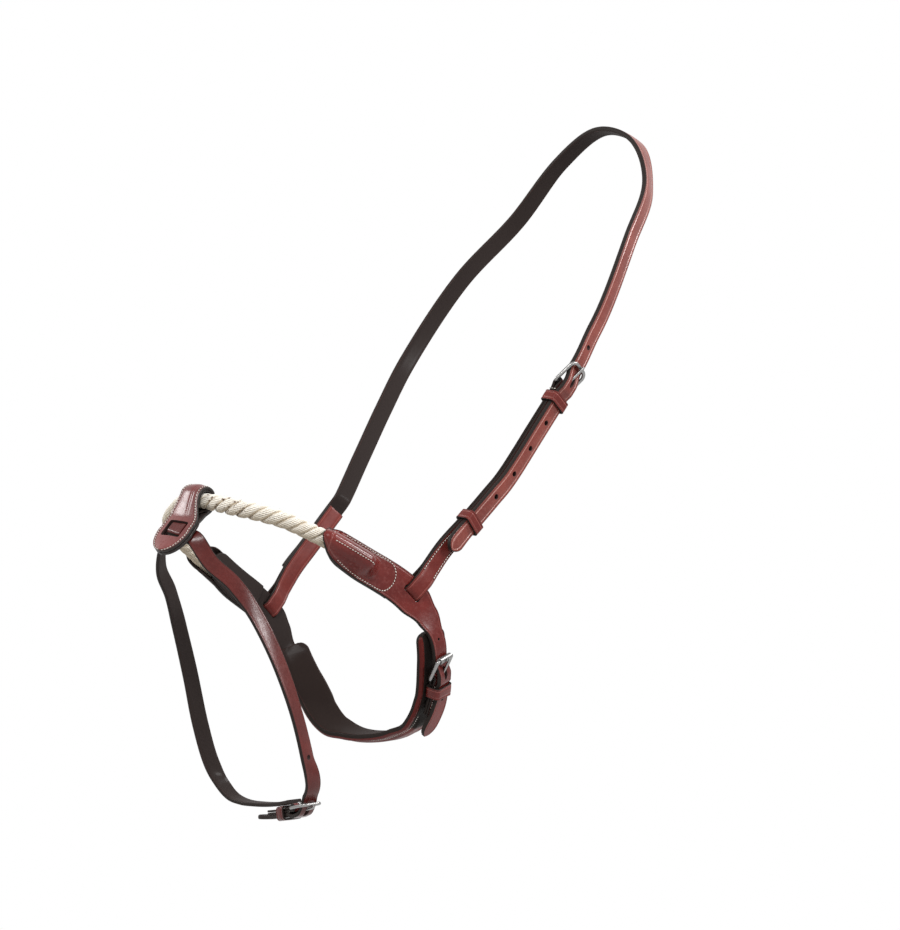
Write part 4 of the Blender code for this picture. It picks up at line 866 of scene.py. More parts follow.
def end_ring(ring: Ring, neighbour: Ring, reach: float = 0.3 * MM) -> Ring:
    """Return a slightly smaller ring beyond an end, which rounds and paints it."""
    centre = ring.points.mean(axis=0)
    forward = centre - neighbour.points.mean(axis=0)
    forward = forward / np.linalg.norm(forward)
    spokes = centre - ring.points
    size = np.linalg.norm(spokes, axis=1, keepdims=True)
    inwards = spokes / size * np.minimum(reach, 0.45 * size)
    return Ring(ring.points + inwards + forward * reach, np.tile((1.0, 1.0, 0.0), (len(ring.points), 1)))


def new_piece(name: str, mesh: bpy.types.Mesh) -> Piece:
    """Link a new object to the scene."""
    item = bpy.data.objects.new(name, mesh)
    bpy.context.scene.collection.objects.link(item)
    return item


def skin(name: str, rings: Sequence[Ring], finish: Material, closed: bool = False) -> Piece:
    """Join rings into a closed body.

    Args:
        name: The piece's name.
        rings: The outlines in order.
        finish: The piece's material.
        closed: Whether the last ring joins the first. Otherwise both ends are capped and rounded.

    Returns:
        The piece, in the coordinates of its rings.
    """
    rings = list(rings)
    if not closed:
        rings = [end_ring(rings[0], rings[1]), *rings, end_ring(rings[-1], rings[-2])]
    size = len(rings[0].points)
    count = len(rings)
    points = np.concatenate([ring.points for ring in rings])
    trim = np.concatenate([ring.trim for ring in rings])
    faces = []
    for number in range(count if closed else count - 1):
        low = number * size
        high = (number + 1) % count * size
        for k in range(size):
            after = (k + 1) % size
            faces.append((low + k, high + k, high + after, low + after))
    if not closed:
        ends = np.array([rings[0].points.mean(axis=0), rings[-1].points.mean(axis=0)])
        points = np.concatenate((points, ends))
        trim = np.concatenate((trim, np.tile((1.0, 1.0, 0.0), (2, 1))))
        last = (count - 1) * size
        for k in range(size):
            after = (k + 1) % size
            faces.append((count * size, k, after))
            faces.append((count * size + 1, last + after, last + k))
    mesh = bpy.data.meshes.new(name)
    mesh.from_pydata(points.tolist(), [], faces)
    set_layer(mesh, "trim", trim)
    mesh.materials.append(finish)
    return new_piece(name, mesh)


def coordinates(mesh: bpy.types.Mesh) -> np.ndarray:
    """Return a mesh's vertices as rows."""
    values = np.empty(len(mesh.vertices) * 3)
    mesh.vertices.foreach_get("co", values)
    return values.reshape(-1, 3)


def set_layer(mesh: bpy.types.Mesh, name: str, values: np.ndarray) -> None:
    """Keep a number or a vector at each of a mesh's points, under a name."""
    kind, key = ("FLOAT_VECTOR", "vector") if values.ndim > 1 else ("FLOAT", "value")
    layer = mesh.attributes.get(name) or mesh.attributes.new(name, kind, "POINT")
    layer.data.foreach_set(key, values.ravel())


def lay(item: Piece, place: Place, flip: bool = False) -> Piece:
    """Lay a flat piece in its place.

    Args:
        item: The piece in its flat coordinates, which its material keeps.
        place: Turns flat points into the world's.
        flip: Whether the piece goes on the off side instead.

    Returns:
        The same piece.
    """
    mesh = item.data
    flat = coordinates(mesh)
    set_layer(mesh, "flat", flat)
    world = place(flat)
    if flip:
        world[:, 0] *= -1.0
        mesh.flip_normals()
    mesh.vertices.foreach_set("co", world.ravel())
    mesh.shade_smooth()
    mesh.set_sharp_from_angle(angle=math.radians(38))
    mesh.update()
    return item


def cut(item: Piece, cutters: Sequence[Piece]) -> Piece:
    """Cut a piece with others.

    Args:
        item: The piece in its flat coordinates.
        cutters: The cutters, which are used up and leave their material on the walls.

    Returns:
        The cut piece. Each of its points takes its trim from the nearest point of the uncut one.
    """
    trim = np.empty(len(item.data.vertices) * 3)
    item.data.attributes["trim"].data.foreach_get("vector", trim)
    tree = KDTree(len(item.data.vertices))
    for number, point in enumerate(coordinates(item.data)):
        tree.insert(point, number)
    tree.balance()
    for cutter in cutters:
        modifier = item.modifiers.new("cut", "BOOLEAN")
        modifier.object = cutter
        modifier.material_mode = "TRANSFER"
    bpy.context.view_layer.update()
    mesh = bpy.data.meshes.new_from_object(item.evaluated_get(bpy.context.evaluated_depsgraph_get()))
    item.modifiers.clear()
    body = bmesh.new()
    body.from_mesh(mesh)
    wide = [face for face in body.faces if len(face.verts) > 4]
    bmesh.ops.triangulate(body, faces=wide)
    body.to_mesh(mesh)
    body.free()
    nearest = [tree.find(point)[1] for point in coordinates(mesh)]
    set_layer(mesh, "trim", trim.reshape(-1, 3)[nearest])
    item.data = mesh
    for cutter in cutters:
        bpy.data.objects.remove(cutter)
    return item


@dataclass(frozen=True)
class Punch:
    """A round or oval punch through a strap, with a small bevel at the outer face."""

    along: float
    length: float
    width: float
    low: float
    face: float
    across: float = 0.0
    bevel: float = 0.25 * MM
    sides: int = 20

    def cutter(self, finish: Material) -> Piece:
        """Return the punch as a cutter in the strap's coordinates."""
        levels = (self.low, self.face - self.bevel, self.face + 0.05 * MM, self.face + 12 * MM)
        grow = (0.0, 0.0, self.bevel, self.bevel)
        rows = []
        for level, wider in zip(levels, grow):
            for number in range(self.sides):
                angle = math.tau * number / self.sides
                x = self.along + (self.length / 2 + wider) * math.cos(angle)
                y = self.across + (self.width / 2 + wider) * math.sin(angle)
                rows.append((x, y, level))
        return solid_of_rows("punch", rows, self.sides, finish)


@dataclass(frozen=True)
class SlotCut:
    """A squared slot with slightly rounded corners."""

    start: float
    end: float
    low: float
    high: float
    bottom: float
    top: float
    corner: float = 1.0 * MM
    skew: float = 0.0

    def cutter(self, finish: Material) -> Piece:
        """Return the slot's cutter, whose lower side may climb towards its start."""
        rows = []
        left, right = self.start + self.corner, self.end - self.corner
        high, low = self.high - self.corner, self.low + self.corner
        corners = ((right, high, 0), (left, high, 90), (left, low + self.skew, 180), (right, low, 270))
        for level in (self.bottom, self.top):
            for x, y, turn in corners:
                rows += [(*point, level) for point in arc(x, y, self.corner, range(turn, turn + 91, 30))]
        return solid_of_rows("slot", rows, 16, finish)


def solid_of_rows(name: str, rows: Sequence[tuple], sides: int, finish: Material) -> Piece:
    """Return a closed body of stacked outlines that run anticlockwise, lowest first."""
    mesh = bpy.data.meshes.new(name)
    layers = len(rows) // sides
    faces: list[tuple] = [tuple(range(sides))[::-1], tuple(range((layers - 1) * sides, layers * sides))]
    for layer in range(layers - 1):
        for k in range(sides):
            low = layer * sides
            after = (k + 1) % sides
            faces.append((low + k, low + after, low + sides + after, low + sides + k))
    mesh.from_pydata([tuple(row) for row in rows], [], faces)
    mesh.materials.append(finish)
    return new_piece(name, mesh)


@dataclass
class Sheet:
    """A flat piece of leather, given by its edges and its faces along its length."""

    places: Sequence[float]
    low: Edge
    high: Edge
    bottom: Level
    top: Level
    style: EdgeStyle = EdgeStyle()
    crease: Edge = lambda along: 1.0
    # How dark the outer face is painted as shade, by place along and across
    painted_shade: Level = lambda along, side: 0.0
    # Where a highlight line is painted on the outer face, by place along and across
    painted_highlight: Level = lambda along, side: 0.0

    def rings(self) -> list[Ring]:
        """Return the sheet's outlines in flat coordinates, with painted shade and painted highlight lines on
        the outer face.
        """
        rings = []
        for along in self.places:
            ring = self.style.outline(
                self.low(along), self.high(along), lambda side: self.top(along, side),
                lambda side: self.bottom(along, side), self.crease(along),
            )
            across, out = ring.points[:, 0], ring.points[:, 1]
            near, paint, inner = ring.trim.T
            painted_shade = np.array([self.painted_shade(along, side) for side in across])
            highlight_line = np.array([self.painted_highlight(along, side) for side in across])
            # Painted shade is laid on the outer face through the edge-paint channel
            paint = np.maximum(paint, np.where(inner < 0.5, painted_shade, 0.0))
            # A painted highlight line takes the crease's nearness, so the material paints the light colour
            # there
            near = np.where(highlight_line > 0.0, HIGHLIGHT_AT, near)
            points = np.stack((np.full(len(across), along), across, out), axis=1)
            rings.append(Ring(points, np.stack((near, paint, inner), axis=1)))
        return rings

    def row(self, places: Sequence[float], side: Edge) -> "Row":
        """Return a row of stitches on the outer face, whose place across the strap is given."""
        points = [(along, side(along), self.top(along, side(along))) for along in places]
        return Row(np.array(points), np.tile((0.0, 0.0, 1.0), (len(points), 1)))


@dataclass
class Ribbon:
    """A strap folded along a line of (along, out) points, with its half width at each of them."""

    line: np.ndarray
    halves: np.ndarray
    thickness: float
    style: EdgeStyle = EdgeStyle()
    raised: Callable[[int, float], float] = lambda number, side: 0.0

    def normals(self) -> np.ndarray:
        """Return the outward direction at each point, in (along, out)."""
        steps = np.gradient(self.line, axis=0)
        steps = steps / np.linalg.norm(steps, axis=1, keepdims=True)
        return np.stack((-steps[:, 1], steps[:, 0]), axis=1)

    def rings(self) -> list[Ring]:
        """Return the ribbon's outlines in flat coordinates."""
        rings = []
        for number, ((along, out), normal, half) in enumerate(zip(self.line, self.normals(), self.halves)):
            ring = self.style.outline(
                -half, half, lambda side: self.thickness / 2 + self.raised(number, side),
                lambda side: -self.thickness / 2,
            )
            lift = ring.points[:, 1]
            points = np.stack((along + normal[0] * lift, ring.points[:, 0], out + normal[1] * lift), axis=1)
            rings.append(Ring(points, ring.trim))
        return rings

    def row(self, first: int, last: int, sides: Callable[[int], float]) -> "Row":
        """Return a row of stitches on the outer face between two points of the line."""
        normals = self.normals()
        points = []
        facings = []
        for number in range(first, last):
            base = self.line[number] + normals[number] * self.thickness / 2
            points.append((base[0], sides(number), base[1]))
            facings.append((normals[number][0], 0.0, normals[number][1]))
        return Row(np.array(points), np.array(facings))


@dataclass
class Row:
    """A row of stitches in flat coordinates, with the way the leather faces under each point."""

    points: np.ndarray
    facings: np.ndarray


class StitchTree:
    """Geometry Nodes that sew a row of slanted stitches, with dark beads for their holes, along every edge
    chain.
    """

    def __init__(self) -> None:
        """Build the tree."""
        self.tree = bpy.data.node_groups.new("saddle stitching", "GeometryNodeTree")
        new = self.tree.interface.new_socket
        new("Geometry", in_out="INPUT", socket_type="NodeSocketGeometry")
        self.sockets = {}
        floats = (("Pitch", 2.0 * MM), ("Length", 1.6 * MM), ("Thickness", 0.62 * MM), ("Slant", 0.2))
        for name, value in floats:
            socket = new(name, in_out="INPUT", socket_type="NodeSocketFloat")
            socket.default_value = value
            self.sockets[name] = socket.identifier
        self.sockets["Seed"] = new("Seed", in_out="INPUT", socket_type="NodeSocketInt").identifier
        for name in ("Thread", "Holes"):
            self.sockets[name] = new(name, in_out="INPUT", socket_type="NodeSocketMaterial").identifier
        new("Geometry", in_out="OUTPUT", socket_type="NodeSocketGeometry")
        self._fill(Graph(self.tree))

    def _fill(self, graph: Graph) -> None:
        """Add the tree's nodes."""
        given = graph.node("NodeGroupInput").outputs
        curve = graph.first("GeometryNodeMeshToCurve", {0: given["Geometry"]})
        pitch = {"Curve": curve, "Length": given["Pitch"]}
        row = graph.first("GeometryNodeResampleCurve", pitch, mode="LENGTH")
        tangent = graph.first("GeometryNodeInputTangent")
        facing = graph.first("GeometryNodeInputNamedAttribute", {"Name": "facing"}, data_type="FLOAT_VECTOR")
        align = "FunctionNodeAlignRotationToVector"
        turned = graph.first(align, {"Vector": tangent}, axis="X")
        turned = graph.first(align, {"Rotation": turned, "Vector": facing}, axis="Z", pivot_axis="X")
        lean = graph.first("ShaderNodeCombineXYZ", {2: given["Slant"]})
        lean = graph.first("FunctionNodeEulerToRotation", {0: lean})
        slanted = graph.first("FunctionNodeRotateRotation", {0: turned, 1: lean}, rotation_space="LOCAL")
        thick = given["Thickness"]
        size = graph.first("ShaderNodeCombineXYZ", {0: given["Length"], 1: thick, 2: thick})
        thread = self._bead(graph, size, 6)
        low, high, value = 2, 3, 1
        drawn = graph.node(
            "FunctionNodeRandomValue", {low: 0.88, high: 1.08, "Seed": given["Seed"]}, data_type="FLOAT"
        ).outputs[value]
        copies = "GeometryNodeInstanceOnPoints"
        stitches = graph.first(
            copies, {"Points": row, "Instance": thread, "Rotation": slanted, "Scale": drawn}
        )
        # Dark beads stand in for the stitch holes: partly the raw wall's colour, partly painted shade inside
        # the holes
        half = graph.scaled(tangent, graph.math("MULTIPLY", given["Pitch"], 0.5))
        between = graph.first("GeometryNodeSetPosition", {"Geometry": row, "Offset": half})
        hole = self._bead(graph, thick, 4)
        holes = graph.first(copies, {"Points": between, "Instance": hole, "Rotation": slanted})
        joined = graph.node("GeometryNodeJoinGeometry")
        for geometry, name in ((stitches, "Thread"), (holes, "Holes")):
            real = graph.first("GeometryNodeRealizeInstances", {0: geometry})
            smooth = graph.first("GeometryNodeSetShadeSmooth", {0: real})
            dressed = graph.first("GeometryNodeSetMaterial", {"Geometry": smooth, "Material": given[name]})
            self.tree.links.new(dressed, joined.inputs[0])
        self.tree.links.new(joined.outputs[0], graph.node("NodeGroupOutput").inputs[0])

    @staticmethod
    def _bead(graph: Graph, size: Socket, rings: int) -> Socket:
        """Return a smooth bead of a given size."""
        ball = graph.first("GeometryNodeMeshUVSphere", {"Segments": 8, "Rings": rings, "Radius": 0.5})
        return graph.first("GeometryNodeTransform", {"Geometry": ball, "Scale": size})


class Seams:
    """All rows of stitches of one body, sewn as one piece."""

    def __init__(self, name: str, body: Body) -> None:
        """Start with no rows."""
        self.name = name
        self.body = body
        self.rows: list[tuple[np.ndarray, np.ndarray]] = []

    def add(self, row: Row, place: Place, flip: bool = False, lift: float = 0.08 * MM) -> None:
        """Add a row.

        Args:
            row: The row in flat coordinates.
            place: Turns flat points into the world's.
            flip: Whether the row is on the off side.
            lift: How far the thread's centre stands over the leather.
        """
        here = place(row.points + row.facings * lift)
        facing = unit(place(row.points + row.facings * MM) - place(row.points))
        if flip:
            here[:, 0] *= -1.0
            facing[:, 0] *= -1.0
        self.rows.append((here, facing))

    def add_pair(self, row: Callable[[float], Row], place: Place, flip: bool = False) -> None:
        """Add a row on each side of a strap's middle, made from the side's sign."""
        for side in (-1.0, 1.0):
            self.add(row(side), place, flip)

    def sew(self, tree: StitchTree, finishes: Finishes, slot: Slot) -> Piece:
        """Sew the rows and let them ride on their body."""
        points = np.concatenate([row for row, _ in self.rows])
        edges = []
        start = 0
        for row, _ in self.rows:
            edges += [(start + number, start + number + 1) for number in range(len(row) - 1)]
            start += len(row)
        mesh = bpy.data.meshes.new(self.name)
        mesh.from_pydata(points.tolist(), edges, [])
        facing = np.concatenate([values for _, values in self.rows])
        set_layer(mesh, "facing", facing)
        item = new_piece(self.name, mesh)
        values = {"Thread": finishes.thread, "Holes": finishes.punched, "Seed": 7}
        grow(item, tree.tree, {tree.sockets[name]: value for name, value in values.items()})
        return ride(item, self.body, slot)


def grow(item: Piece, tree: bpy.types.NodeTree, inputs: dict[str, Any]) -> None:
    """Run Geometry Nodes on an object and keep their result as its plain mesh.

    Args:
        item: The object.
        tree: The nodes.
        inputs: The tree's inputs by socket identifier.
    """
    modifier = item.modifiers.new("nodes", "NODES")
    modifier.node_group = tree
    for identifier, value in inputs.items():
        modifier[identifier] = value
    item.update_tag()
    bpy.context.view_layer.update()
    mesh = bpy.data.meshes.new_from_object(item.evaluated_get(bpy.context.evaluated_depsgraph_get()))
    item.modifiers.clear()
    item.data = mesh


def ride(item: Piece, body: Body, slot: Slot, *nodes: str) -> Piece:
    """Let a finished piece ride on its body and stand for its solids.

    Args:
        item: The piece.
        body: The body it moves with.
        slot: The record's material slot; not used.
        nodes: The solids that it stands for.

    Returns:
        The same piece.
    """
    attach(item, body.value)
    if nodes:
        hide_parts(*nodes)
    LOG.info("%s: %d faces, on %s", item.name, len(item.data.polygons), body.value)
    return item


class RopeTree:
    """Geometry Nodes that lay yarns into strands and strands into a rope along an edge chain."""

    FIELDS = (
        ("Strands", 3), ("Yarns", 14), ("Strand Centre", 3.45 * MM), ("Strand Depth", 1.6 * MM),
        ("Strand Half Width", 2.9 * MM), ("Yarn", 0.76 * MM), ("Turn", 22.5 * MM),
        ("Yarn Turn", 12.0 * MM), ("Core", 4.1 * MM),
    )
    FIBRES_ALONG = 420.0
    FIBRE_TWIST = 300.0

    def __init__(self) -> None:
        """Build the tree."""
        self.tree = bpy.data.node_groups.new("laid rope", "GeometryNodeTree")
        new = self.tree.interface.new_socket
        new("Geometry", in_out="INPUT", socket_type="NodeSocketGeometry")
        for name, value in self.FIELDS:
            kind = "NodeSocketInt" if isinstance(value, int) else "NodeSocketFloat"
            new(name, in_out="INPUT", socket_type=kind).default_value = value
        self.material = new("Material", in_out="INPUT", socket_type="NodeSocketMaterial").identifier
        new("Geometry", in_out="OUTPUT", socket_type="NodeSocketGeometry")
        self._fill(Graph(self.tree))

    def _fill(self, graph: Graph) -> None:
        """Add the tree's nodes."""
        given = graph.node("NodeGroupInput").outputs
        centre = graph.first("GeometryNodeMeshToCurve", {0: given["Geometry"]})
        count = graph.math("MULTIPLY", given["Strands"], given["Yarns"])
        inputs = {"Geometry": centre, "Amount": count}
        yarns, index = graph.node("GeometryNodeDuplicateElements", inputs, domain="SPLINE").outputs[:2]
        strand = graph.math("FLOOR", graph.math("DIVIDE", graph.math("ADD", index, 0.5), given["Yarns"]))
        yarn = graph.math("SUBTRACT", index, graph.math("MULTIPLY", strand, given["Yarns"]))
        along, grip = self._read(graph, "along", "FLOAT"), self._read(graph, "grip", "FLOAT")
        lay_angle = self._turned(graph, along, given["Turn"], strand, given["Strands"], -1.0)
        spin = self._turned(graph, along, given["Yarn Turn"], yarn, given["Yarns"], 1.0)
        # crest: how far out each yarn lies, which the rope's material turns into painted shade between the
        # strands
        crest = graph.math("COSINE", spin)
        deep = graph.math("MULTIPLY", crest, given["Strand Depth"])
        reach = graph.math("SUBTRACT", graph.math("ADD", given["Strand Centre"], deep), grip)
        side = graph.math("MULTIPLY", graph.math("SINE", spin), given["Strand Half Width"])
        cosine, sine = graph.math("COSINE", lay_angle), graph.math("SINE", lay_angle)
        over = graph.math(
            "SUBTRACT", graph.math("MULTIPLY", cosine, reach), graph.math("MULTIPLY", sine, side)
        )
        out = graph.math("ADD", graph.math("MULTIPLY", sine, reach), graph.math("MULTIPLY", cosine, side))
        offset = graph.vector(
            "ADD", graph.scaled(self._read(graph, "across", "FLOAT_VECTOR"), over),
            graph.scaled(self._read(graph, "out", "FLOAT_VECTOR"), out),
        )
        yarns = graph.first("GeometryNodeSetPosition", {"Geometry": yarns, "Offset": offset})
        fibre = graph.math("SUBTRACT", spin, graph.math("MULTIPLY", along, self.FIBRE_TWIST))
        length = graph.math("MULTIPLY", along, self.FIBRES_ALONG)
        spun = graph.first("ShaderNodeCombineXYZ", {
            0: length, 1: graph.math("MULTIPLY", index, 3.7), 2: fibre,
        })
        for name, kind, value in (("crest", "FLOAT", crest), ("spun", "FLOAT_VECTOR", spun)):
            inputs = {"Geometry": yarns, "Name": name, "Value": value}
            yarns = graph.first("GeometryNodeStoreNamedAttribute", inputs, data_type=kind, domain="POINT")
        joined = graph.node("GeometryNodeJoinGeometry")
        for curve, radius, sides in ((yarns, given["Yarn"], 7), (centre, given["Core"], 12)):
            self.tree.links.new(self._tube(graph, curve, radius, sides), joined.inputs[0])
        smooth = graph.first("GeometryNodeSetShadeSmooth", {0: joined.outputs[0]})
        dressed = graph.first("GeometryNodeSetMaterial", {"Geometry": smooth, "Material": given["Material"]})
        self.tree.links.new(dressed, graph.node("NodeGroupOutput").inputs[0])

    @staticmethod
    def _read(graph: Graph, name: str, kind: str) -> Socket:
        """Return a named attribute of the centre line."""
        return graph.first("GeometryNodeInputNamedAttribute", {"Name": name}, data_type=kind)

    @staticmethod
    def _turned(graph: Graph, along: Any, turn: Any, number: Any, count: Any, sense: float) -> Socket:
        """Return the angle of one of several lines that wind round another."""
        wound = graph.math("MULTIPLY", graph.math("DIVIDE", along, turn), sense * math.tau)
        own = graph.math("MULTIPLY", graph.math("DIVIDE", number, count), math.tau)
        return graph.math("ADD", wound, own)

    @staticmethod
    def _tube(graph: Graph, curve: Any, radius: Any, sides: int) -> Socket:
        """Return a closed tube along curves."""
        circle = {"Resolution": sides, "Radius": radius}
        circle = graph.first("GeometryNodeCurvePrimitiveCircle", circle, mode="RADIUS")
        inputs = {"Curve": curve, "Profile Curve": circle, "Fill Caps": True}
        return graph.first("GeometryNodeCurveToMesh", inputs)


def wire(
    name: str, path: np.ndarray, normal: tuple, radii: np.ndarray, finish: Material,
    closed: bool, sides: int = 18,
) -> Piece:
    """Make a round wire along a path that lies in a plane.

    Args:
        name: The piece's name.
        path: The path's points.
        normal: The plane's normal.
        radii: The wire's radius at each point.
        finish: The wire's material.
        closed: Whether the path is a closed line.
        sides: The wire's sides.

    Returns:
        The wire, in the path's coordinates.
    """
    if closed:
        steps = np.roll(path, -1, axis=0) - np.roll(path, 1, axis=0)
    else:
        steps = np.gradient(path, axis=0)
    forward = unit(steps)
    up = np.array(normal, float)
    left = np.cross(up, forward)
    angles = -np.arange(sides) * math.tau / sides
    trim = np.zeros((sides, 3))
    rings = [
        Ring(point + radius * (np.cos(angles)[:, None] * side + np.sin(angles)[:, None] * up), trim)
        for point, side, radius in zip(path, left, radii)
    ]
    return skin(name, rings, finish, closed)


@dataclass(frozen=True)
class Buckle:
    """A wire buckle in a strap's fold, and the levels of the straps that meet at it."""

    name: str
    route: Route
    bar_at: float
    bar_out: float
    strap_width: float
    strap_thickness: float
    strap_low: float
    strap_after: float
    ply: float
    wire: float
    length: float
    setback: float
    gap: float
    roller: float = 0.0
    roller_wall: float = 0.6 * MM
    tongue: float = 2.1 * MM
    side_play: float = 0.5 * MM
    hole_ease: float = 1.2 * MM
    corner: float = 0.45

    @property
    def fold_radius(self) -> float:
        """Radius of the fold's middle line round the bar."""
        return self.wire / 2 + self.gap + self.ply / 2

    @property
    def fold(self) -> list[tuple[float, float]]:
        """Line of the strap's fold round the bar, from its lower to its upper side."""
        return arc(self.bar_at, self.bar_out, self.fold_radius, range(270, 89, -10))

    @property
    def rise(self) -> float:
        """Angle by which the buckle climbs from its bar to its crossbar."""
        return math.atan2(self.crossbar_out - self.bar_out, self.length)

    @property
    def fold_top(self) -> float:
        """Level of the outer face of the fold or of the tongue's eye, whichever is higher."""
        eye = self.wire / 2 + self.gap + self.tongue
        return self.bar_out + max(self.fold_radius + self.ply / 2, eye)

    @property
    def crossbar_out(self) -> float:
        """Level of the crossbar's centre, over the strap that passes under it."""
        return self.strap_low + self.strap_thickness + self.gap + self.wire / 2 + self.roller

    @property
    def half_width(self) -> float:
        """Half the distance between the centres of the buckle's sides."""
        return self.strap_width / 2 + self.side_play + self.wire / 2

    @property
    def span(self) -> float:
        """Distance from the bar to the crossbar."""
        return math.hypot(self.length, self.crossbar_out - self.bar_out)

    def lift(self, along: float) -> float:
        """Return the level of the passing strap's inner face, which climbs over the fold."""
        over = self.fold_top + 1.5 * self.gap
        fold = self.fold_radius
        stops = [
            (-(self.length - self.wire / 2), self.strap_low), (-fold, over), (fold, over),
            (self.setback, self.strap_after),
        ]
        return eased(stops, along - self.bar_at)

    def hole(self, low: float, face: float) -> Punch:
        """Return the oval hole through which the tongue rises out of the strap."""
        line, radii = self.tongue_path()
        cosine, sine = math.cos(self.rise), math.sin(self.rise)
        reached = []
        for first, last, radius in zip(line, line[1:], radii):
            for share in (0.0, 0.25, 0.5, 0.75):
                x, _, z = first + (last - first) * share
                along = self.bar_at + x * cosine + z * sine
                above = self.bar_out - x * sine + z * cosine - self.lift(along)
                if -radius < above < self.strap_thickness + radius and x > 2 * self.wire - self.span:
                    reached.append(along)
        start, end = min(reached) - self.hole_ease, max(reached) + self.hole_ease
        middle = (start + end) / 2
        return Punch(middle, end - start, self.tongue + self.hole_ease, low, face, bevel=0.15 * MM)

    def slit(self, finish: Material) -> Piece:
        """Return the cutter of the slit in the fold that the tongue's eye sits in."""
        reach = self.fold_radius + self.ply
        half = self.tongue / 2 + 2 * self.gap
        cutter = SlotCut(
            self.bar_at - 2 * reach, self.bar_at + self.wire / 2 + self.tongue + 2 * self.gap,
            -half, half, self.bar_out - 2 * reach, self.bar_out + 2 * reach, 0.5 * MM,
        )
        return cutter.cutter(finish)

    def matrix(self) -> Matrix:
        """Return the buckle's own frame: its bar's centre, tilted so that it meets the crossbar."""
        return self.route.matrix(self.bar_at, self.bar_out) @ Matrix.Rotation(self.rise, 4, "Y")

    def _place(self, flat: np.ndarray) -> np.ndarray:
        """Move points of the buckle's frame into the world."""
        return moved(flat, self.matrix())

    def frame_path(self) -> np.ndarray:
        """Return the frame's closed line: square at the bar and rounded at the crossbar."""
        radius = self.corner * self.half_width
        small = self.wire / 2
        line = []
        corners = (
            (-self.span + radius, self.half_width - radius, 90, radius),
            (-self.span + radius, -self.half_width + radius, 180, radius),
            (-small, -self.half_width + small, 270, small),
            (-small, self.half_width - small, 0, small),
        )
        for x, y, start, size in corners:
            line += [(*point, 0.0) for point in arc(x, y, size, range(start, start + 91, 9))]
        return np.array(line)

    def tongue_path(self) -> tuple[np.ndarray, np.ndarray]:
        """Return the tongue's line, an eye and then straight to the crossbar, and its radii."""
        eye = self.wire / 2 + self.gap + self.tongue / 2
        rest = self.wire / 2 + self.roller + self.gap + self.tongue / 2
        line = [(x, 0.0, z) for x, z in arc(0.0, 0.0, eye, range(-150, 91, 10))]
        eye_points = len(line)
        start = np.array(line[-1])
        end = np.array((-self.span, 0.0, rest))
        for share in np.linspace(0.12, 1.0, 10):
            line.append(tuple(start + (end - start) * share))
        over = self.wire / 2 + self.roller + 0.8 * MM
        for share in (0.35, 0.7, 0.9, 1.0):
            line.append((-self.span - over * share, 0.0, rest - 0.5 * MM * share ** 2))
        radius = self.tongue / 2
        radii = np.full(len(line), radius)
        radii[eye_points:] = np.linspace(radius, 0.82 * radius, len(line) - eye_points)
        radii[-2:] = (0.66 * radius, 0.36 * radius)
        return np.array(line), radii

    def build(
        self, finishes: Finishes, body: Body, tongue_body: Body, roller_body: Body | None = None
    ) -> None:
        """Make the frame, the tongue and the roller, if the buckle has one."""
        path = self.frame_path()
        radii = np.full(len(path), self.wire / 2)
        frame = wire(f"{self.name}_wire", path, (0, 0, 1), radii, finishes.steel, True)
        ride(lay(frame, self._place), body, Slot.STEEL, f"{self.name}_frame")
        line, radii = self.tongue_path()
        tongue = wire(f"{self.name}_pin", line, (0, -1, 0), radii, finishes.steel, False, 14)
        ride(lay(tongue, self._place), tongue_body, Slot.STEEL, f"{self.name}_tongue")
        if roller_body:
            ride(self._roller(finishes), roller_body, Slot.STEEL, f"{self.name}_roller")

    def _roller(self, finishes: Finishes) -> Piece:
        """Return the tube that turns on the crossbar, with slightly turned-in ends."""
        half = self.half_width * (1.0 - self.corner) - self.gap
        inner = self.wire / 2 + self.roller - self.roller_wall
        outer = inner + self.roller_wall
        soft = 0.25 * MM
        profile = [
            (inner, -half), (outer - soft, -half), (outer, -half + soft), (outer, half - soft),
            (outer - soft, half), (inner, half),
        ]
        sides = 36
        rings = []
        for number in range(sides):
            angle = math.tau * number / sides
            cosine, sine = math.cos(angle), math.sin(angle)
            turned = [(radius * cosine - self.span, side, radius * sine) for radius, side in profile]
            rings.append(Ring(np.array(turned), np.zeros((len(profile), 3))))
        return lay(skin(f"{self.name}_tube", rings, finishes.steel, True), self._place)


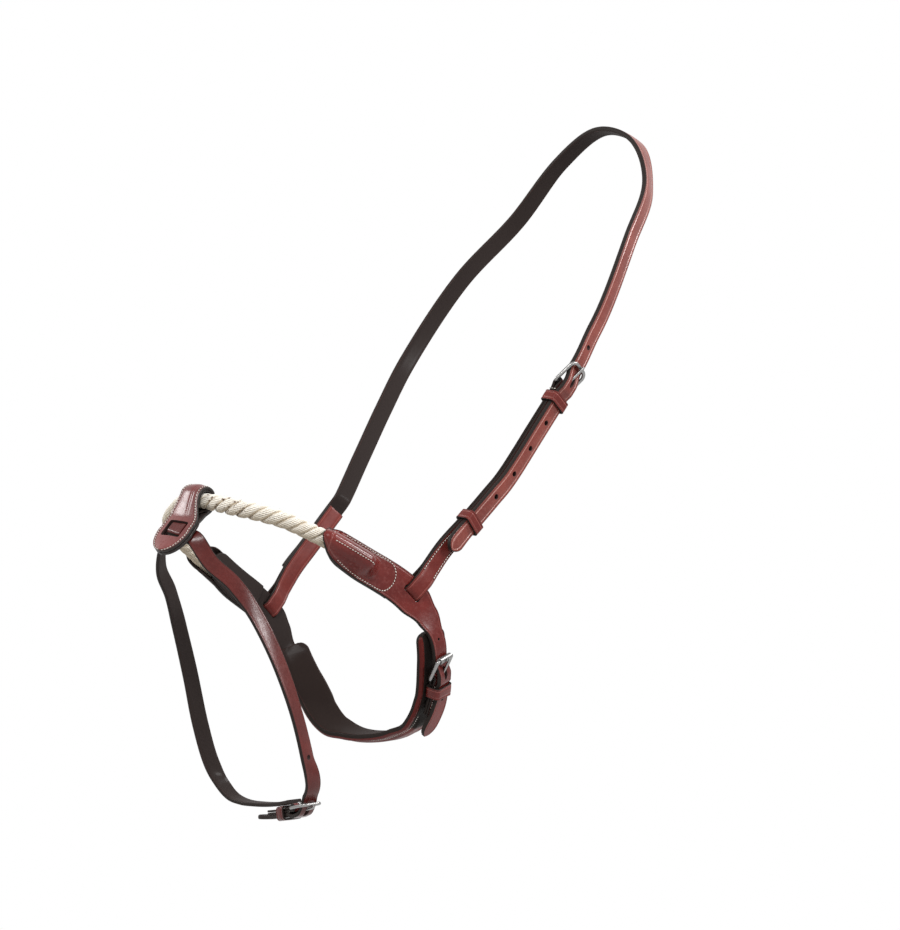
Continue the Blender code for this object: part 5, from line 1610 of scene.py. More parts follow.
@dataclass(frozen=True)
class Keeper:
    """A closed leather loop round the straps, with a crease along both its edges."""

    start: float
    half_width: float
    low: float
    high: float
    gap: float
    length: float = 8.0 * MM
    wall: float = 1.4 * MM
    side_play: float = 0.5 * MM
    corner: float = 1.1 * MM
    style: EdgeStyle = EdgeStyle(
        rounding=0.45 * MM, inset=1.6 * MM, depth=0.2 * MM, width=0.4 * MM, columns=3
    )

    def build(self, name: str, finish: Material) -> Piece:
        """Return the keeper in its strap's flat coordinates."""
        side = self.half_width + self.side_play - self.corner
        bottom = self.low - self.gap + self.corner
        top = self.high + self.gap - self.corner
        rings = []
        corners = ((side, top, 0), (-side, top, 90), (-side, bottom, 180), (side, bottom, 270))
        for x, y, turn in corners:
            for step in range(7):
                angle = math.radians(turn + 15 * step)
                normal = (math.cos(angle), math.sin(angle))
                inner = (x + self.corner * normal[0], y + self.corner * normal[1])
                section = self.style.outline(0.0, self.length, lambda _: self.wall, lambda _: 0.0)
                along, lift = self.start + section.points[:, 0], section.points[:, 1]
                points = np.stack(
                    (along, inner[0] + normal[0] * lift, inner[1] + normal[1] * lift), axis=1
                )
                rings.append(Ring(points, section.trim))
        return skin(name, rings, finish, closed=True)

    def fit_on(self, route: Route, name: str, finish: Material, body: Body, slot: Slot) -> None:
        """Make the keeper on its strap's route and let it ride on its body."""
        ride(lay(self.build(f"{name}_leather", finish), route.place), body, slot, name)


def tip_half(half: float, left: float) -> float:
    """Narrow a strap's half width to its blunt point.

    Args:
        half: The strap's half width.
        left: The length left to the tip.

    Returns:
        The half width there.
    """
    taper = 1.25 * half
    if left >= taper:
        return half
    share = 1.0 - max(left, 0.0) / taper
    return max(half * math.sqrt(max(1.0 - share * share, 0.0)), 0.12 * half)


def tip_places(start: float, end: float) -> list[float]:
    """Return places that crowd towards a strap's tip."""
    return [start + (end - start) * math.sin(math.radians(angle)) for angle in range(0, 91, 5)]


def tipped(half: float, end: float) -> tuple[Edge, Edge]:
    """Return the lower and the upper edge of a strap that narrows to a blunt point at its end."""
    return lambda along: -tip_half(half, end - along), lambda along: tip_half(half, end - along)


def evenly_between(first: Sequence[float], last: Sequence[float], steps: int) -> list[tuple]:
    """Return even points from one point to another, without the two themselves."""
    start = np.array(first)
    way = np.array(last) - start
    return [tuple(start + way * share) for share in np.linspace(0, 1, steps + 1)[1:-1]]


def round_punches(
    places: Sequence[float], width: float, level: Edge, thickness: float, *,
    bevel: float = 0.25 * MM, below: float = MM,
) -> list[Punch]:
    """Return round punches through a strap.

    Args:
        places: The holes' places along the strap.
        width: The holes' diameter.
        level: The level of the strap's inner face by the place along it.
        thickness: The strap's thickness.
        bevel: The bevel at the outer face.
        below: How far the punches reach out of the inner face.

    Returns:
        The punches.
    """
    punches = []
    for place in places:
        face = level(place) + thickness
        punches.append(Punch(place, width, width, face - thickness - below, face, bevel=bevel))
    return punches


@dataclass
class Headpiece:
    """The head strap, its two hangers, its buckle, the fixed keeper and the runner."""

    fit: Fit
    layout: Layout
    finishes: Finishes
    thickness: float = 3.8 * MM
    near_length: float = 187.2 * MM
    off_length: float = 99.2 * MM
    off_lap: float = 62.0 * MM
    tail: float = 150.0 * MM
    tail_lift: float = 2.6 * MM
    hole: float = 3.4 * MM
    hole_pitch: float = 22.0 * MM
    holes_from: float = 13.0 * MM
    holes: tuple[int, ...] = (-1, 2, 3, 4, 5)
    tip_length: float = 9.0 * MM
    crown: float = 0.25 * MM
    seam_over_tip: float = 12.0 * MM
    seam_over_slot: float = 15.0 * MM
    bar_seam: float = 6.5 * MM
    runner_at: float = 119.0 * MM
    buckle_length: float = 17.0 * MM
    buckle_lift: float = 3.2 * MM
    wire: float = 2.6 * MM
    setback: float = 8.0 * MM
    stitch_inset: float = 1.75 * MM
    step: float = 2.0 * MM
    style: EdgeStyle = EdgeStyle(inset=2.6 * MM, depth=0.3 * MM, width=0.55 * MM, fade=3.6 * MM)
    seams: Seams = field(default_factory=lambda: Seams("headpiece_stitching", Body.HEADPIECE))

    def __post_init__(self) -> None:
        """Place the slot, the buckle and the buckle's levels on the route."""
        self.slot = self.layout.head.total / 2 - self.fit.slot_depth
        self.bar = self.slot - self.near_length
        half = self.fit.hanger_half
        self.buckle = Buckle(
            "head_buckle", self.layout.head, bar_at=self.bar, bar_out=0.0, strap_width=self.fit.strap_width,
            strap_thickness=self.thickness, strap_low=self.buckle_lift - half,
            strap_after=half + self.fit.gap, ply=self.fit.hanger_ply, wire=self.wire,
            length=self.buckle_length, setback=self.setback, gap=self.fit.gap, corner=0.55,
        )

    @property
    def ply_out(self) -> float:
        """Distance of a hanger's ply from the hanger's middle."""
        return (self.fit.hanger_ply + self.fit.gap) / 2

    def build(self, stitches: StitchTree) -> None:
        """Make every piece of the headpiece."""
        self._strap()
        self._near_hanger()
        self._off_hanger()
        self.buckle.build(self.finishes, Body.HEADPIECE, Body.HEAD_TONGUE)
        self._keepers()
        self.seams.sew(stitches, self.finishes, Slot.HEAD)

    def level(self, along: float) -> float:
        """Return the level of the head strap's inner face."""
        half = self.fit.hanger_half
        off_top = -(self.slot - self.off_length)
        if along < off_top + 20 * MM:
            return eased([(off_top + MM, half + self.fit.gap), (off_top + 14 * MM, -half)], along)
        if along > self.bar - self.buckle_length:
            tip = self.bar + self.tail
            return self.buckle.lift(along) + eased([(tip - 22 * MM, 0.0), (tip, self.tail_lift)], along)
        low = self.bar - 3 * self.buckle_length
        return eased([(low, -half), (self.bar - self.buckle_length, self.buckle.strap_low)], along)

    def _strap(self) -> None:
        """Make the long strap from the off hanger over the poll, through the buckle to its tip."""
        start = -(self.slot - self.off_length) - self.off_lap
        end = self.bar + self.tail
        half = self.fit.strap_width / 2
        crossbar, past, tip = self.bar - self.buckle_length, self.bar + 14 * MM, end - self.tip_length
        places = stretches((start, crossbar, self.step), (crossbar, past, MM), (past, tip, self.step))
        places += tip_places(tip, end)[1:]
        sheet = Sheet(
            places, *tipped(half, end), lambda along, side: self.level(along),
            lambda along, side: self.level(along) + self.thickness - self.crown * (side / half) ** 2,
            self.style, lambda along: min(max((end - along - self.style.inset) / MM, 0.0), 1.0),
        )
        strap = skin("head_strap_leather", sheet.rings(), self.finishes.head)
        low = -self.fit.hanger_half - 2 * MM
        punches = [self.buckle.hole(low, self.level(self.bar) + self.thickness)]
        holes = [self.bar - self.holes_from + number * self.hole_pitch for number in self.holes]
        punches += round_punches(holes, self.hole, self.level, self.thickness)
        cut(strap, [punch.cutter(self.finishes.punched) for punch in punches])
        ride(lay(strap, self.layout.head.place), Body.HEADPIECE, Slot.HEAD, "head_strap")
        lap = spread(start + 4 * MM, start + self.off_lap - 4 * MM, self.step)
        seam = half - self.stitch_inset
        self.seams.add_pair(lambda side: sheet.row(lap, lambda along: side * seam), self.layout.head.place)

    def _fold(self) -> tuple[list, list, list, float]:
        """Return the outer ply's flare, the fold through the slot and the inner ply's flare."""
        wrap = self.fit.fold_half
        ply = self.ply_out
        centre = self.slot - self.fit.fold_drop
        top = self.slot - self.fit.slot_strip - 2 * MM
        join = top - 9 * MM
        outer = [(join + (top - join) * share, ply + (wrap - ply) * share) for share in np.linspace(0, 1, 7)]
        inner = [(along, -out) for along, out in reversed(outer)]
        return outer, arc(centre, 0.0, wrap, range(90, -91, -10)), inner, join

    def _hanger_rows(self, ribbon: Ribbon, end: float, flip: bool) -> None:
        """Sew both edges of a hanger's outer ply, from above its slot up to a place along it."""
        low = self.slot - self.seam_over_slot
        outer = [i for i, (along, out) in enumerate(ribbon.line) if out > 0.5 * MM and end <= along <= low]
        first, last = min(outer), max(outer) + 1
        seam = self.fit.strap_width / 2 - self.stitch_inset
        self.seams.add_pair(
            lambda side: ribbon.row(first, last, lambda number: side * seam), self.layout.head.place, flip
        )

    def _near_hanger(self) -> None:
        """Make the folded strap from the near slot up to the head buckle."""
        ply = self.ply_out
        outer, fold, inner, join = self._fold()
        butt = (self.bar + join) / 2
        line = [(place, -ply) for place in reversed(spread(self.bar + 6 * MM, butt, self.step))]
        line += self.buckle.fold
        line += [(place, ply) for place in spread(self.bar + 6 * MM, join, self.step)][:-1]
        line += outer + fold + inner
        line += [(place, -ply) for place in reversed(spread(butt + self.fit.gap, join, self.step))][1:]
        ribbon = self._ribbon(np.array(line))
        hanger = skin("near_hanger_leather", ribbon.rings(), self.finishes.keeper)
        cut(hanger, [self.buckle.slit(self.finishes.punched)])
        ride(lay(hanger, self.layout.head.place), Body.HEADPIECE, Slot.HEAD, "near_hanger")
        self._hanger_rows(ribbon, self.bar + self.tail - self.seam_over_tip, False)
        half = self.fit.hanger_half
        at, edge = self.bar + self.bar_seam, -self.fit.strap_width / 2
        points = np.array([(at, edge, out) for out in np.linspace(-half, half, 8)])
        self.seams.add(Row(points, np.tile((0.0, -1.0, 0.0), (len(points), 1))), self.layout.head.place)

    def _off_hanger(self) -> None:
        """Make the folded strap from the off slot up to the head strap's sewn end."""
        ply = self.ply_out
        outer, fold, inner, join = self._fold()
        top = self.slot - self.off_length
        line = [(place, ply) for place in spread(top, join, self.step)][:-1]
        line += outer + fold + inner
        line += [(place, -ply) for place in reversed(spread(top, join, self.step))][1:]
        ribbon = self._ribbon(np.array(line))
        hanger = skin("off_hanger_leather", ribbon.rings(), self.finishes.keeper)
        ride(lay(hanger, self.layout.head.place, True), Body.HEADPIECE, Slot.HEAD, "off_hanger")
        self._hanger_rows(ribbon, top + self.off_lap + 2 * MM, True)

    def _ribbon(self, line: np.ndarray) -> Ribbon:
        """Return a hanger's ribbon along its folded line."""
        halves = np.full(len(line), self.fit.strap_width / 2)
        return Ribbon(line, halves, self.fit.hanger_ply, EdgeStyle(
            rounding=0.6 * MM, inset=self.stitch_inset, depth=0.22 * MM, width=0.6 * MM, columns=3,
        ))

    def _keepers(self) -> None:
        """Make the fixed keeper under the buckle and the runner further down."""
        half = self.fit.strap_width / 2
        top = self.buckle.strap_after + self.thickness
        fixed = ("head_keeper", self.setback + MM, Body.HEADPIECE)
        sliding = ("head_runner", self.runner_at, Body.RUNNER)
        for name, below, body in (fixed, sliding):
            keeper = Keeper(self.bar + below, half, -self.fit.hanger_half, top, self.fit.gap)
            keeper.fit_on(self.layout.head, name, self.finishes.keeper, body, Slot.HEAD)


@dataclass
class Noseband:
    """The rope over the nose, the cheek pieces and their linings, the chin strap and its buckle."""

    fit: Fit
    layout: Layout
    finishes: Finishes
    cover_start: float = 88.0 * MM
    mouth_length: float = 15.0 * MM
    mouth_tip: float = 1.2 * MM
    mouth_low: float = 3.6 * MM
    band_at: float = 5.5 * MM
    band_width: float = 0.9 * MM
    band_depth: float = 0.4 * MM
    rope_end: float = 127.0 * MM
    slope: float = 9.0 * MM
    foot: float = 4.3 * MM
    end_narrowing: float = 0.72
    bulge_fullness: float = 2.6
    bulge_foot: float = 1.5
    crown_seam: float = -0.8 * MM
    seam_turn: float = 11.5 * MM
    seam_end: float = 1.5 * MM
    seam_fullness: float = 0.8
    mouth_skive: float = 1.4 * MM
    lining_start: float = 0.6
    lining_end: float = 150.0 * MM
    lining_inset: float = 0.5 * MM
    lining_rounding: float = 12.0 * MM
    slot_snug: float = 1.4 * MM
    slot_skew: float = 0.4 * MM
    slot_corner: float = 1.5 * MM
    billet_width: float = 13.0 * MM
    billet_start: float = 194.0 * MM
    billet_tail: float = 39.0 * MM
    billet_hole: float = 1.6 * MM
    billet_hole_pitch: float = 20.0 * MM
    billet_holes_from: float = 5.0 * MM
    off_end: float = 214.0 * MM
    chin_width: float = 25.0 * MM
    chin_thickness: float = 5.0 * MM
    chin_ridge: float = 1.8 * MM
    guard_start: float = 193.0 * MM
    guard_rim: float = 2.4 * MM
    chin_corner: float = 6.0 * MM
    ridge_slope: float = 8.0 * MM
    ridge_flat: float = 0.3
    ridge_side: float = 0.22
    ridge_seam: float = 0.56
    buckle_at: float = 222.5 * MM
    buckle_length: float = 14.5 * MM
    buckle_lift: float = 3.6 * MM
    chape_ply: float = 1.8 * MM
    chape_length: float = 25.0 * MM
    keeper_wall: float = 1.4 * MM
    keeper_setback: float = 5.5 * MM
    wire: float = 2.6 * MM
    roller_wall: float = 0.6 * MM
    stitch_inset: float = 1.7 * MM
    seams: Seams = field(default_factory=lambda: Seams("noseband_stitching", Body.NOSEBAND))

    def __post_init__(self) -> None:
        """Set the chin buckle's levels."""
        gap = self.fit.gap
        self.chape_floor = self.chin_thickness + self.keeper_wall + 2 * gap
        self.buckle = Buckle(
            "chin_buckle", self.layout.ring, bar_at=self.buckle_at,
            bar_out=self.chape_floor + self.chape_ply + gap / 2, strap_width=self.billet_width,
            strap_thickness=self.fit.cheek, strap_low=self.chin_thickness + self.buckle_lift,
            strap_after=self.chape_floor + 2 * self.chape_ply + 3.5 * gap, ply=self.chape_ply,
            wire=self.wire, length=self.buckle_length, setback=self.keeper_setback, gap=gap,
            roller=self.roller_wall + gap, roller_wall=self.roller_wall, corner=0.22,
        )

    def build(self, stitches: StitchTree) -> None:
        """Make every piece of the noseband."""
        self._rope()
        self._cheek_piece("near", self.buckle_at + self.billet_tail, True)
        self._cheek_piece("off", self.off_end, False)
        self._lining("near", False)
        self._lining("off", True)
        self._chin_strap()
        self._chape()
        self.buckle.build(self.finishes, Body.NOSEBAND, Body.CHIN_TONGUE, Body.CHIN_ROLLER)
        keeper = Keeper(
            self.buckle_at + self.keeper_setback + self.fit.gap, self.billet_width / 2, self.chape_floor,
            self.buckle.strap_after + self.fit.cheek, self.fit.gap, wall=self.keeper_wall,
        )
        keeper.fit_on(self.layout.ring, "chin_keeper", self.finishes.noseband, Body.NOSEBAND, Slot.NOSEBAND)
        self.seams.sew(stitches, self.finishes, Slot.NOSEBAND)

    def _rope(self) -> None:
        """Lay the rope from cover to cover."""
        places = np.array(spread(-self.rope_end, self.rope_end, 1.1 * MM))
        at, _, across, out = self.layout.ring.frames(places)
        mesh = bpy.data.meshes.new("rope_line")
        line = at + out * self.fit.rope_height
        mesh.from_pydata(line.tolist(), [(i, i + 1) for i in range(len(line) - 1)], [])
        middle = self.fit.loop_at - self.fit.loop_lean / 2
        beyond = (np.abs(places - middle) - self.fit.loop_top_half) / self.fit.rope_squeeze_fade
        grip = np.array([self.fit.rope_squeeze * (1 - ease(share)) for share in beyond])
        for name, values in (("along", places), ("grip", grip), ("across", across), ("out", out)):
            set_layer(mesh, name, values)
        rope = new_piece("nose_rope_yarns", mesh)
        tree = RopeTree()
        grow(rope, tree.tree, {tree.material: self.finishes.rope})
        ride(rope, Body.NOSEBAND, Slot.ROPE, "nose_rope")

    def _mouth(self, along: float, full: float) -> float:
        """Return the half width of the bullet-shaped mouth, or the full one behind it."""
        left = 1.0 - min(max((along - self.cover_start) / self.mouth_length, 0.0), 1.0)
        return max(full * (1.0 - left ** 2) ** 0.5, self.mouth_tip)

    def low_edge(self, along: float) -> float:
        """Return the cheek piece's half width below its middle line."""
        half, billet = self.fit.cheek_half, self.billet_width / 2
        full = eased([
            (self.cover_start, half - self.mouth_low), (self.rope_end, half),
            (self.fit.slot_at + 2 * MM, half), (self.billet_start - 10 * MM, billet + 2 * MM),
            (self.billet_start, billet),
        ], along)
        return self._mouth(along, full)

    def high_edge(self, along: float) -> float:
        """Return the cheek piece's half width above its middle line."""
        half, billet = self.fit.cheek_half, self.billet_width / 2
        full = eased([
            (self.cover_start, half), (self.fit.slot_at + 7 * MM, half),
            (self.billet_start - 12 * MM, billet + 3 * MM), (self.billet_start, billet),
        ], along)
        return self._mouth(along, full)

    def bulge(self, along: float, side: float) -> float:
        """Return how far the cheek piece stands up over the rope, with a soft foot and a soft end."""
        end = self.rope_end + self.slope
        height = eased([(self.rope_end - 4 * MM, self.fit.rope + 4 * self.fit.gap), (end, 0.0)], along)
        narrowed = eased([(self.rope_end - 6 * MM, 1.0), (end, self.end_narrowing)], along)
        share = min(abs(side) / ((self.fit.rope / 2 + self.foot) * narrowed), 1.0)
        return height * (1.0 - share ** self.bulge_fullness) ** self.bulge_foot

    def mouth_end(self, side: float) -> float:
        """Return where the mouth begins at a place across the cover."""
        rounded = max(1.0 - (side / self.fit.cheek_half) ** 2, 0.0) ** 0.5
        return self.cover_start + self.mouth_length * (1.0 - rounded)

    def band(self, along: float, side: float) -> float:
        """Return 1 where a highlight line is painted along the band pressed round the mouth, and 0 elsewhere.
        """
        across = abs(along - self.mouth_end(side) - self.band_at) < self.band_width / 2
        return 1.0 if across and abs(side) < 0.8 * self.fit.cheek_half else 0.0

    def face(self, along: float, side: float) -> float:
        """Return how far the outer face stands over the inner, with the band pressed round the mouth."""
        tip = self.mouth_end(side)
        skived = eased([(tip, self.mouth_skive), (tip + 5 * MM, 0.0)], along)
        press = min(abs(along - tip - self.band_at) / self.band_width, 1.0)
        band = self.band_depth * math.cos(press * math.pi / 2) ** 2
        return self.fit.cheek - skived - band + self.bulge(along, side)

    def billet_level(self, along: float) -> float:
        """Return the level of the near cheek piece's inner face."""
        crossbar = self.buckle_at - self.buckle_length
        if along < crossbar:
            rise = self.fit.slot_at + self.fit.slot_to_rise
            return eased([(rise, self.fit.cheek_level), (crossbar, self.buckle.strap_low)], along)
        return self.buckle.lift(along)

    def off_level(self, along: float) -> float:
        """Return the level of the off cheek piece's inner face."""
        return eased([
            (self.fit.slot_at + self.fit.slot_to_rise, self.fit.cheek_level),
            (self.billet_start - 2 * MM, self.chin_thickness + self.fit.gap),
        ], along)

    def _cheek_piece(self, side: str, end: float, near: bool) -> None:
        """Make a cheek piece: its tunnel over the rope, its slot and its lower end."""
        level = self.billet_level if near else self.off_level
        tip_from = self.billet_start if near else end + MM

        def narrowed(edge: Edge) -> Edge:
            """Return an edge that narrows to the billet's tip."""
            half = self.billet_width / 2

            def half_width(along: float) -> float:
                """Return the edge's half width, no wider than the tip."""
                return min(edge(along), tip_half(half, end - along)) if along > tip_from else edge(along)

            return half_width

        low, high = narrowed(self.low_edge), narrowed(self.high_edge)
        rim, band = self.cover_start + MM, self.cover_start + self.mouth_length + 7 * MM
        fall, foot, tip = self.rope_end - 4 * MM, self.rope_end + self.slope + 2 * MM, end - 8 * MM
        places = stretches(
            (self.cover_start, rim, 0.2 * MM), (rim, band, 0.45 * MM), (band, fall, 1.3 * MM),
            (fall, foot, 0.7 * MM), (foot, tip, 1.3 * MM),
        )
        places += tip_places(tip, end)[1:] if near else spread(tip, end, MM)[1:]
        sheet = Sheet(
            places, lambda along: -low(along), high,
            lambda along, side: level(along) + self.bulge(along, side),
            lambda along, side: level(along) + self.face(along, side),
            EdgeStyle(inset=self.stitch_inset, depth=0.22 * MM, width=0.55 * MM, columns=44),
            lambda along: min(max((end - along - 2 * MM) / MM, 0.0), 1.0), painted_highlight=self.band,
        )
        piece = skin(f"{side}_cheek_leather", sheet.rings(), self.finishes.noseband)
        wide = self.fit.strap_width / 2 + self.fit.slot_side_play - self.slot_snug / 2
        cutters = [SlotCut(
            self.fit.slot_at - wide, self.fit.slot_at + wide,
            self.fit.strip_edge - self.fit.slot_depth + self.slot_snug,
            self.fit.strip_edge, -self.fit.cheek, 4 * self.fit.cheek, self.slot_corner, self.slot_skew,
        ).cutter(self.finishes.punched)]
        if near:
            floor, face = self.buckle.strap_low - MM, self.buckle.fold_top + 2 * self.fit.cheek
            first = self.buckle_at - self.billet_holes_from
            holes = [first + number * self.billet_hole_pitch for number in (-1, 1)]
            punches = [self.buckle.hole(floor, face)]
            punches += round_punches(holes, self.billet_hole, level, self.fit.cheek, bevel=0.15 * MM)
            cutters += [punch.cutter(self.finishes.punched) for punch in punches]
        cut(piece, cutters)
        route = self.layout.near_cheek if near else self.layout.ring
        ride(lay(piece, route.place, not near), Body.NOSEBAND, Slot.NOSEBAND, f"{side}_cheek_piece")
        self._cheek_rows(sheet, route.place, not near)

    def _cheek_rows(self, sheet: Sheet, place: Place, flip: bool) -> None:
        """Sew round the cover and along the top of its bulge."""
        start = self.cover_start + self.mouth_length + 3 * MM
        turn = self.lining_end - self.seam_turn
        reach = self.lining_end - self.seam_end - turn
        inset, step = self.stitch_inset, 1.2 * MM
        half = self.fit.cheek_half - inset
        straight = spread(start, turn, step)
        around = [(along, self.high_edge(along) - inset) for along in straight]
        for angle in range(86, -87, -4):
            cosine = math.cos(math.radians(angle))
            around.append((turn + reach * cosine ** self.seam_fullness, half * math.sin(math.radians(angle))))
        around += [(along, inset - self.low_edge(along)) for along in reversed(straight)]
        crown_places = spread(self.cover_start + 9 * MM, self.rope_end - MM, step)
        crown = [(along, self.crown_seam) for along in crown_places]
        for line in (around, crown):
            points = np.array([(along, side, sheet.top(along, side)) for along, side in line])
            facings = []
            near = 0.3 * MM
            for along, side in line:
                slope = (sheet.top(along, side + near) - sheet.top(along, side - near)) / (2 * near)
                facings.append((0.0, -slope, 1.0))
            self.seams.add(Row(points, unit(np.array(facings))), place, flip)

    def _lining(self, side: str, flip: bool) -> None:
        """Make the flat lining that closes the tunnel behind the rope."""
        start = self.cover_start + self.lining_start * self.mouth_length
        full = start + self.lining_rounding

        def within(edge: float, along: float) -> float:
            """Return a half width a little inside the cover's, rounded at the lining's start."""
            left = 1.0 - min((along - start) / self.lining_rounding, 1.0)
            return max((edge - self.lining_inset) * (1.0 - left ** 2) ** 0.5, MM)

        first = start + 2 * MM
        places = stretches((start, first, 0.3 * MM), (first, full, MM), (full, self.lining_end, 2 * MM))
        sheet = Sheet(
            places, lambda along: -within(self.low_edge(along), along),
            lambda along: within(self.high_edge(along), along), lambda along, side: 0.0,
            lambda along, side: self.fit.lining, PLAIN,
        )
        piece = skin(f"{side}_lining_leather", sheet.rings(), self.finishes.lining)
        lay(piece, self.layout.ring.place, flip)
        ride(piece, Body.NOSEBAND, Slot.LINING, f"{side}_cheek_lining")

    def _chin_strap(self) -> None:
        """Make the padded strap from the off cheek piece round the jaw to the near buckle."""
        end = self.layout.ring.total - self.billet_start
        ridge_start = self.buckle_at + self.chape_length + 4 * MM
        ridge_end = self.layout.ring.total - self.off_end - 4 * MM
        half = self.chin_width / 2

        def edge(along: float) -> float:
            """Return the strap's half width."""
            left = max(self.chin_corner - min(along - self.guard_start, end - along), 0.0)
            return half - self.chin_corner + math.sqrt(max(self.chin_corner ** 2 - left ** 2, 0.0))

        def top(along: float, side: float) -> float:
            """Return the level of the outer face with its padded ridge."""
            rise = eased([
                (ridge_start, 0.0), (ridge_start + self.ridge_slope, self.chin_ridge),
                (ridge_end - self.ridge_slope, self.chin_ridge), (ridge_end, 0.0),
            ], along)
            share = (abs(side) / half - self.ridge_flat) / self.ridge_side
            return self.chin_thickness + rise * (1 - ease(share))

        def billet_shade(along: float, side: float) -> float:
            """Return the painted shade that darkens the guard's face where the billet shades it."""
            behind = ease((side + half - self.guard_rim) / MM)
            return behind * (1.0 - ease((along - ridge_start - 4 * MM) / (14 * MM)))

        places = tip_places(self.guard_start + self.chin_corner, self.guard_start)[::-1]
        places += spread(self.guard_start + self.chin_corner, end - self.chin_corner, 2 * MM)[1:]
        places += tip_places(end - self.chin_corner, end)[1:]
        sheet = Sheet(
            places, lambda along: -edge(along), edge, lambda along, side: 0.0, top,
            EdgeStyle(
                rounding=1.6 * MM, inset=2.6 * MM, depth=0.25 * MM, width=0.6 * MM, columns=24, painted=0.55,
            ),
            painted_shade=billet_shade,
        )
        strap = skin("chin_strap_leather", sheet.rings(), self.finishes.guard)
        ride(lay(strap, self.layout.ring.place), Body.NOSEBAND, Slot.NOSEBAND, "chin_strap")
        row = spread(ridge_start, ridge_end, 2 * MM)
        seam = self.ridge_seam * half
        self.seams.add_pair(lambda side: sheet.row(row, lambda along: side * seam), self.layout.ring.place)

    def _chape(self) -> None:
        """Make the short folded strap that holds the chin buckle."""
        make_chape(self.buckle, self.chape_length, "chin", self.finishes, Body.NOSEBAND, self.seams)


def make_chape(
    buckle: Buckle, length: float, name: str, finishes: Finishes, body: Body, seams: Seams
) -> None:
    """Make the short folded strap that holds a buckle.

    Args:
        buckle: The buckle.
        length: How far both plies reach behind the bar.
        name: The start of the piece's name and of its solid's.
        finishes: The object's finishes.
        body: The body that the chape rides on.
        seams: The stitches of that body.
    """
    half_gap = (buckle.ply + buckle.gap) / 2
    end = buckle.bar_at + length
    behind = spread(buckle.bar_at + 5 * MM, end, 1.5 * MM)
    line = [(place, buckle.bar_out - half_gap) for place in reversed(behind)]
    line += buckle.fold
    line += [(place, buckle.bar_out + half_gap) for place in behind]
    style = EdgeStyle(rounding=0.5 * MM, inset=1.6 * MM, depth=0.15 * MM, width=0.5 * MM, columns=3)
    ribbon = Ribbon(np.array(line), np.full(len(line), buckle.strap_width / 2), buckle.ply, style)
    chape = skin(f"{name}_chape_leather", ribbon.rings(), finishes.noseband)
    cut(chape, [buckle.slit(finishes.punched)])
    ride(lay(chape, buckle.route.place), body, Slot.NOSEBAND, f"{name}_chape")
    first, last = len(line) - len(behind) + 1, len(line) - 1
    seam = buckle.strap_width / 2 - style.inset
    seams.add_pair(lambda side: ribbon.row(first, last, lambda number: side * seam), buckle.route.place)


